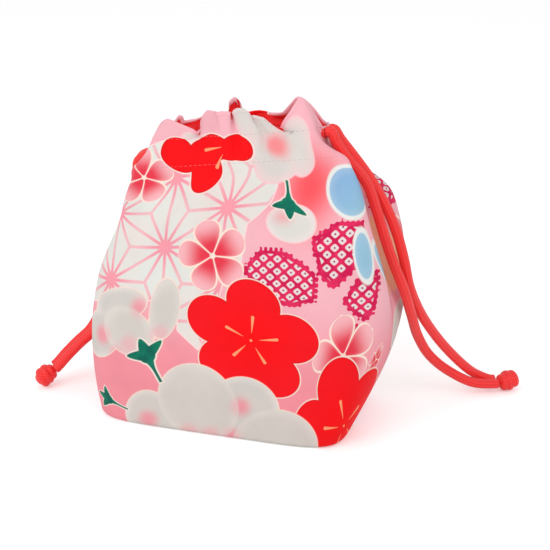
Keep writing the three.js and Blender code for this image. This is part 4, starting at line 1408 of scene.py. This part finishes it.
def draw_calyx(wire, below):
    """Green calyx: three leaves round a body that narrows into the stem, and a pale line round all."""
    x, y, _ = wire.attribute("calyx")
    edge = length(x, y * 0.85) - 0.4
    for turn in (-155, -90, -25):
        edge = edge.math("MINIMUM", lobe(x, y, turn))
    narrow = (1 - y / 1.1).math("MAXIMUM", 0)
    stem = x.math("ABSOLUTE") - 0.07 - 0.3 * narrow * narrow
    edge = edge.math("MINIMUM", stem.math("MAXIMUM", (y - 0.85).math("ABSOLUTE") - 0.85))
    line = wire.blend(below, (248, 232, 222), edge.under(0.08, 0.03))
    green = wire.blend((6, 124, 96), (4, 98, 84), wire.noise(0.15).rise(0.35, 0.7))
    return wire.blend(line, green, edge.under(0, 0.03))


# %% [markdown]
# The hemp-leaf pattern has a star of twelve spokes on each point of a triangular net: six run to the
# neighbouring stars and six to the middles of the triangles. Near its own star a point only needs its
# distance and its angle folded into 30 degrees, which gives both kinds of spoke at once.

# %% Patterned grounds
def draw_stars(wire, below):
    """Spokes at r sin(f) and r sin(30 - f) around the nearest point of the net, which is the nearer of
    the corners and the middle of the box that the net repeats in."""
    x, y, edge = wire.attribute("star")
    tall = math.sqrt(3)
    corners = [((x + 0.5).math("WRAP", 1, 0) - 0.5), ((y + tall / 2).math("WRAP", tall, 0) - tall / 2)]
    middles = [x.math("WRAP", 1, 0) - 0.5, y.math("WRAP", tall, 0) - tall / 2]
    nearer = length(*middles).math("LESS_THAN", length(*corners))
    px, py = (a * (1 - nearer) + b * nearer for a, b in zip(corners, middles))
    r = length(px, py)
    fold = (py.math("ARCTAN2", px) - math.pi / 6).math("PINGPONG", math.pi / 6)
    spoke = (r * fold.math("SINE")).math("MINIMUM", r * (math.pi / 6 - fold).math("SINE"))
    cloth_tone = wire.blend((236, 226, 220), (230, 232, 226), wire.noise(0.02).rise(0.35, 0.65))
    rose = wire.blend((250, 152, 168), (246, 190, 196), r.rise(0.05, 0.5))
    ground = wire.blend(cloth_tone, rose, spoke.under(0.022, 0.006))
    ground = wire.blend(ground, (252, 160, 174), r.under(0.095, 0.05))
    line = wire.blend(below, (255, 226, 224), edge.under(0.5, 0.25))
    return wire.blend(line, ground, edge.under(-0.2, 0.3))


def draw_dots(wire, below):
    """White squares |a|^4 + |b|^4 < 0.34^4 with a dark dot, on magenta with a toothed edge."""
    a, b, edge = wire.attribute("dots")
    s, t, _ = wire.attribute("ground")
    teeth = (s * 0.34).math("PINGPONG", 0.5) + (t * 0.34).math("PINGPONG", 0.5)
    inside = (edge + 2.6 * teeth - 2.2).under(0, 0.12)
    ca = (a + 0.5).math("FRACT") - 0.5
    cb = (b + 0.5).math("FRACT") - 0.5
    fa, fb = (c.math("ABSOLUTE").math("POWER", 4) for c in (ca, cb))
    square = (fa + fb).math("POWER", 1 / 4)
    magenta = wire.blend((214, 22, 84), (232, 44, 96), wire.noise(0.15).rise(0.4, 0.6))
    spots = wire.blend(magenta, (238, 222, 222), square.under(0.34, 0.03) * edge.under(-1.7, 0.1))
    spots = wire.blend(spots, (150, 30, 80), length(ca, cb).under(0.1, 0.03) * edge.under(-1.7, 0.1))
    return wire.blend(below, spots, inside)


def draw_ground(wire):
    """Salmon low on the bag, paler pink above, and coral clouds."""
    _, t, cloud = wire.attribute("ground")
    cloudy = wire.noise(0.012)
    pink = wire.blend((248, 150, 162), (250, 186, 196), (t + 30 * cloudy).rise(55, 110))
    return wire.blend(pink, (255, 74, 82), (cloud + 0.2 * cloudy).rise(0.05, 1.3))


# %% [markdown]
# ## The materials
#
# The printed cloth takes the layers in order, from the ground to the motifs on top, and a weave along
# its flat measures. The lining is coarser red cotton, and the cord is knitted, in columns of slanted
# loops. The thread is half clear. The base, which is hardly ever seen, has the print's ground colour.

# %% Materials
CLOTH_THREAD = 0.55  # millimetres from thread to thread
LINING_WARP, LINING_WEFT, BASE_WEAVE = 1600, 1900, 1800  # threads in a metre
BASE_SPOTS = 38.0  # blossoms in a metre
CORD_COLUMNS, CORD_LOOP = 10, 1.2  # half columns round a cord, and millimetres of a loop


def printed_cloth():
    """All layers of the print over a satin-like plain weave with a soft sheen, and painted shade
    between its threads.
    """
    material, wire, shader = finish_of("printed cloth", Sheen_Weight=0.02, Specular_IOR_Level=0.12)
    colour = draw_dots(wire, draw_stars(wire, draw_ground(wire)))
    for draw in (draw_sakura, draw_reds, draw_plum, draw_blue, draw_white, draw_bud, draw_calyx):
        colour = draw(wire, colour)
    s, t, _ = wire.attribute("ground")
    warp, weft = s / CLOTH_THREAD, t / CLOTH_THREAD
    over = (warp.math("FLOOR") + weft.math("FLOOR")).math("FLOORED_MODULO", 2)
    weave = warp.math("PINGPONG", 0.5) * over + weft.math("PINGPONG", 0.5) * (1 - over)
    slub = wire.noise(0.9, 3)
    tone = wire.noise(0.05, 3)
    # Base colour: up to 5% darker in random soft patches of tone, and up to 6% darker between the
    # threads, which is painted shade in the weave's hollows.
    join(colour.times(1 - 0.05 * tone.rise(0.35, 0.7) - 0.06 * (1 - weave * 2)), shader, "Base Color")
    join(0.5 + 0.12 * slub + 0.1 * weave, shader, "Roughness")
    join(bump_of(weave + 0.5 * slub, 0.12), shader, "Normal")
    return material


# %% Lining, cord, thread and base
def lining_finish():
    """Plain red cotton: a coarser weave in the object's own millimetres, with painted shade between its
    threads.
    """
    material, wire, shader = finish_of("red lining", Sheen_Weight=0.05, Specular_IOR_Level=0.15)
    x, y, z = wire.place().parts()
    warp = (x * LINING_WARP + y * LINING_WARP).math("PINGPONG", 0.5)
    weave = warp.math("MAXIMUM", (z * LINING_WEFT).math("PINGPONG", 0.5))
    soft = wire.noise(0.08, 3)
    colour = wire.blend((228, 18, 24), (244, 44, 46), soft.rise(0.3, 0.7))
    # painted shade: up to 15% of a dark red goes in where the threads of the weave are low, between
    # them
    join(wire.blend(colour, (150, 10, 20), (0.5 - weave) * 0.3), shader, "Base Color")
    join(0.62 + 0.15 * soft, shader, "Roughness")
    join(bump_of(weave + soft, 0.1), shader, "Normal")
    return material


def cord_finish():
    """Knitted satin cord: slanted loops in columns round the cord, from the cord's own map, with
    painted shade low between the loops and a painted highlight on their tops.
    """
    material, wire, shader = finish_of("red cord", Sheen_Weight=0.12, Specular_IOR_Level=0.4)
    u, along, _ = wire.node("ShaderNodeUVMap", {"uv_map": "cord"}).parts()
    column = (u * CORD_COLUMNS).math("PINGPONG", 1)
    loop = (along / CORD_LOOP + column * 0.8).math("PINGPONG", 0.5)
    height = loop + column.math("PINGPONG", 0.5)
    fuzz = wire.noise(1.2, 3)
    # painted shade and painted highlight: the red is darker where the loops lie low and lighter where
    # they stand high, with a pale painted highlight on their tops
    colour = wire.blend((236, 20, 26), (255, 62, 58), height.rise(0.1, 0.85))
    colour = wire.blend(colour, (255, 112, 100), height.rise(0.8, 1.0) * 0.2)
    join(wire.blend(colour, (248, 34, 36), fuzz.rise(0.3, 0.7) * 0.4), shader, "Base Color")
    join(0.36 + 0.16 * fuzz, shader, "Roughness")
    join(bump_of(height + 0.2 * fuzz, 0.16), shader, "Normal")
    return material


def thread_finish():
    """Fine half-clear pink thread with a twist."""
    material, wire, shader = finish_of("clear thread", Specular_IOR_Level=0.3)
    twist = wire.noise(2.5, 2)
    join(wire.blend((246, 170, 180), (252, 205, 208), twist.rise(0.3, 0.7)), shader, "Base Color")
    join(0.4 + 0.2 * twist, shader, "Roughness")
    join(0.16 + 0.12 * twist, shader, "Alpha")
    join(bump_of(twist, 0.05), shader, "Normal")
    return material


def base_finish():
    """The print's pink ground with a few pale blossoms, as much as a base panel shows of it."""
    material, wire, shader = finish_of("base cloth", Sheen_Weight=0.02, Specular_IOR_Level=0.12)
    x, y, _ = wire.place().parts()
    spot = wire.node("ShaderNodeTexVoronoi", {"voronoi_dimensions": "2D"},
                     {"Vector": wire.place(), "Scale": BASE_SPOTS}, "Distance")
    pink = wire.blend((248, 150, 162), (250, 178, 188), wire.noise(0.02).rise(0.35, 0.65))
    pink = wire.blend(pink, (250, 226, 214), spot.under(0.34, 0.03))
    pink = wire.blend(pink, (236, 60, 76), spot.under(0.3, 0.12) * 0.8)
    weave = (x * BASE_WEAVE).math("PINGPONG", 0.5) + (y * BASE_WEAVE).math("PINGPONG", 0.5)
    slub = wire.noise(0.9, 3)
    join(pink.times(1 - 0.05 * weave), shader, "Base Color")
    join(0.55 + 0.12 * slub, shader, "Roughness")
    join(bump_of(weave + 0.5 * slub, 0.1), shader, "Normal")
    return material


# %% Each piece gets its material, and so do the two CAD solids that stay
PRINTED, LINING_RED, CORD_RED, THREAD = printed_cloth(), lining_finish(), cord_finish(), thread_finish()
for pieces, material in (((halves, hems), PRINTED), ((linings,), LINING_RED),
                         ((cord_loops, free_cords, knots), CORD_RED), ((stitches,), THREAD)):
    for group in pieces:
        for piece in group.values():
            piece.data.materials.append(material)
bpy.data.objects["outer_base"].material_slots[0].material = base_finish()
bpy.data.objects["lining_base"].material_slots[0].material = LINING_RED
print("nodes in the printed cloth", len(PRINTED.node_tree.nodes))

# %% [markdown]
# ## The studio
#
# The photograph has a white background and soft light from the front. The floor is a very large sheet
# of white paper, so that no horizon shows, and it glows a little for the camera only: it stays white
# behind the bag and still takes the shadow. A large soft lamp on the left of the front does most, and a
# weak one fills in from the right.

# %% Studio
FLOOR_HALF = 60000  # millimetres
FLOOR_LIFT = 0.3  # how much the paper glows for the camera
SKY_LIGHT = 0.7
LAMP_AIM = Vector((0, 0, 0.08))  # in metres
corners = FLOOR_HALF * np.array([[-1, -1, 0], [1, -1, 0], [1, 1, 0], [-1, 1, 0]])
floor = new_piece("floor", corners, np.array([[0, 1, 2, 3]]))
material, wire, shader = finish_of("paper floor", Roughness=0.9, Specular_IOR_Level=0.1)
grain = wire.noise(0.3, 3)
join(wire.blend((249, 249, 249), (252, 252, 252), grain), shader, "Base Color")
seen = wire.node("ShaderNodeLightPath", None, None, "Is Camera Ray")
shader.inputs["Emission Strength"].default_value = FLOOR_LIFT
join(wire.blend((0, 0, 0), (255, 255, 255), seen), shader, "Emission Color")
floor.data.materials.append(material)
world = bpy.data.worlds.new("world")
bpy.context.scene.world = world
world.use_nodes = True
sky = world.node_tree.nodes["Background"]
sky.inputs["Color"].default_value = (1, 1, 1, 1)
sky.inputs["Strength"].default_value = SKY_LIGHT
LAMPS = [
    # name, place in metres, size, power
    ("front lamp", (-0.4, -0.9, 0.9), 0.9, 5.8),
    ("right lamp", (0.9, -0.3, 0.6), 0.7, 1.5),
]
for name, at, size, power in LAMPS:
    lamp = bpy.data.objects.new(name, bpy.data.lights.new(name, "AREA"))
    lamp.data.size, lamp.data.energy = size, power
    lamp.location = at
    lamp.rotation_euler = (LAMP_AIM - Vector(at)).to_track_quat("-Z", "Y").to_euler()
    bpy.context.scene.collection.objects.link(lamp)
bpy.context.scene.view_settings.view_transform = "Standard"
print("lamps", [lamp[0] for lamp in LAMPS])
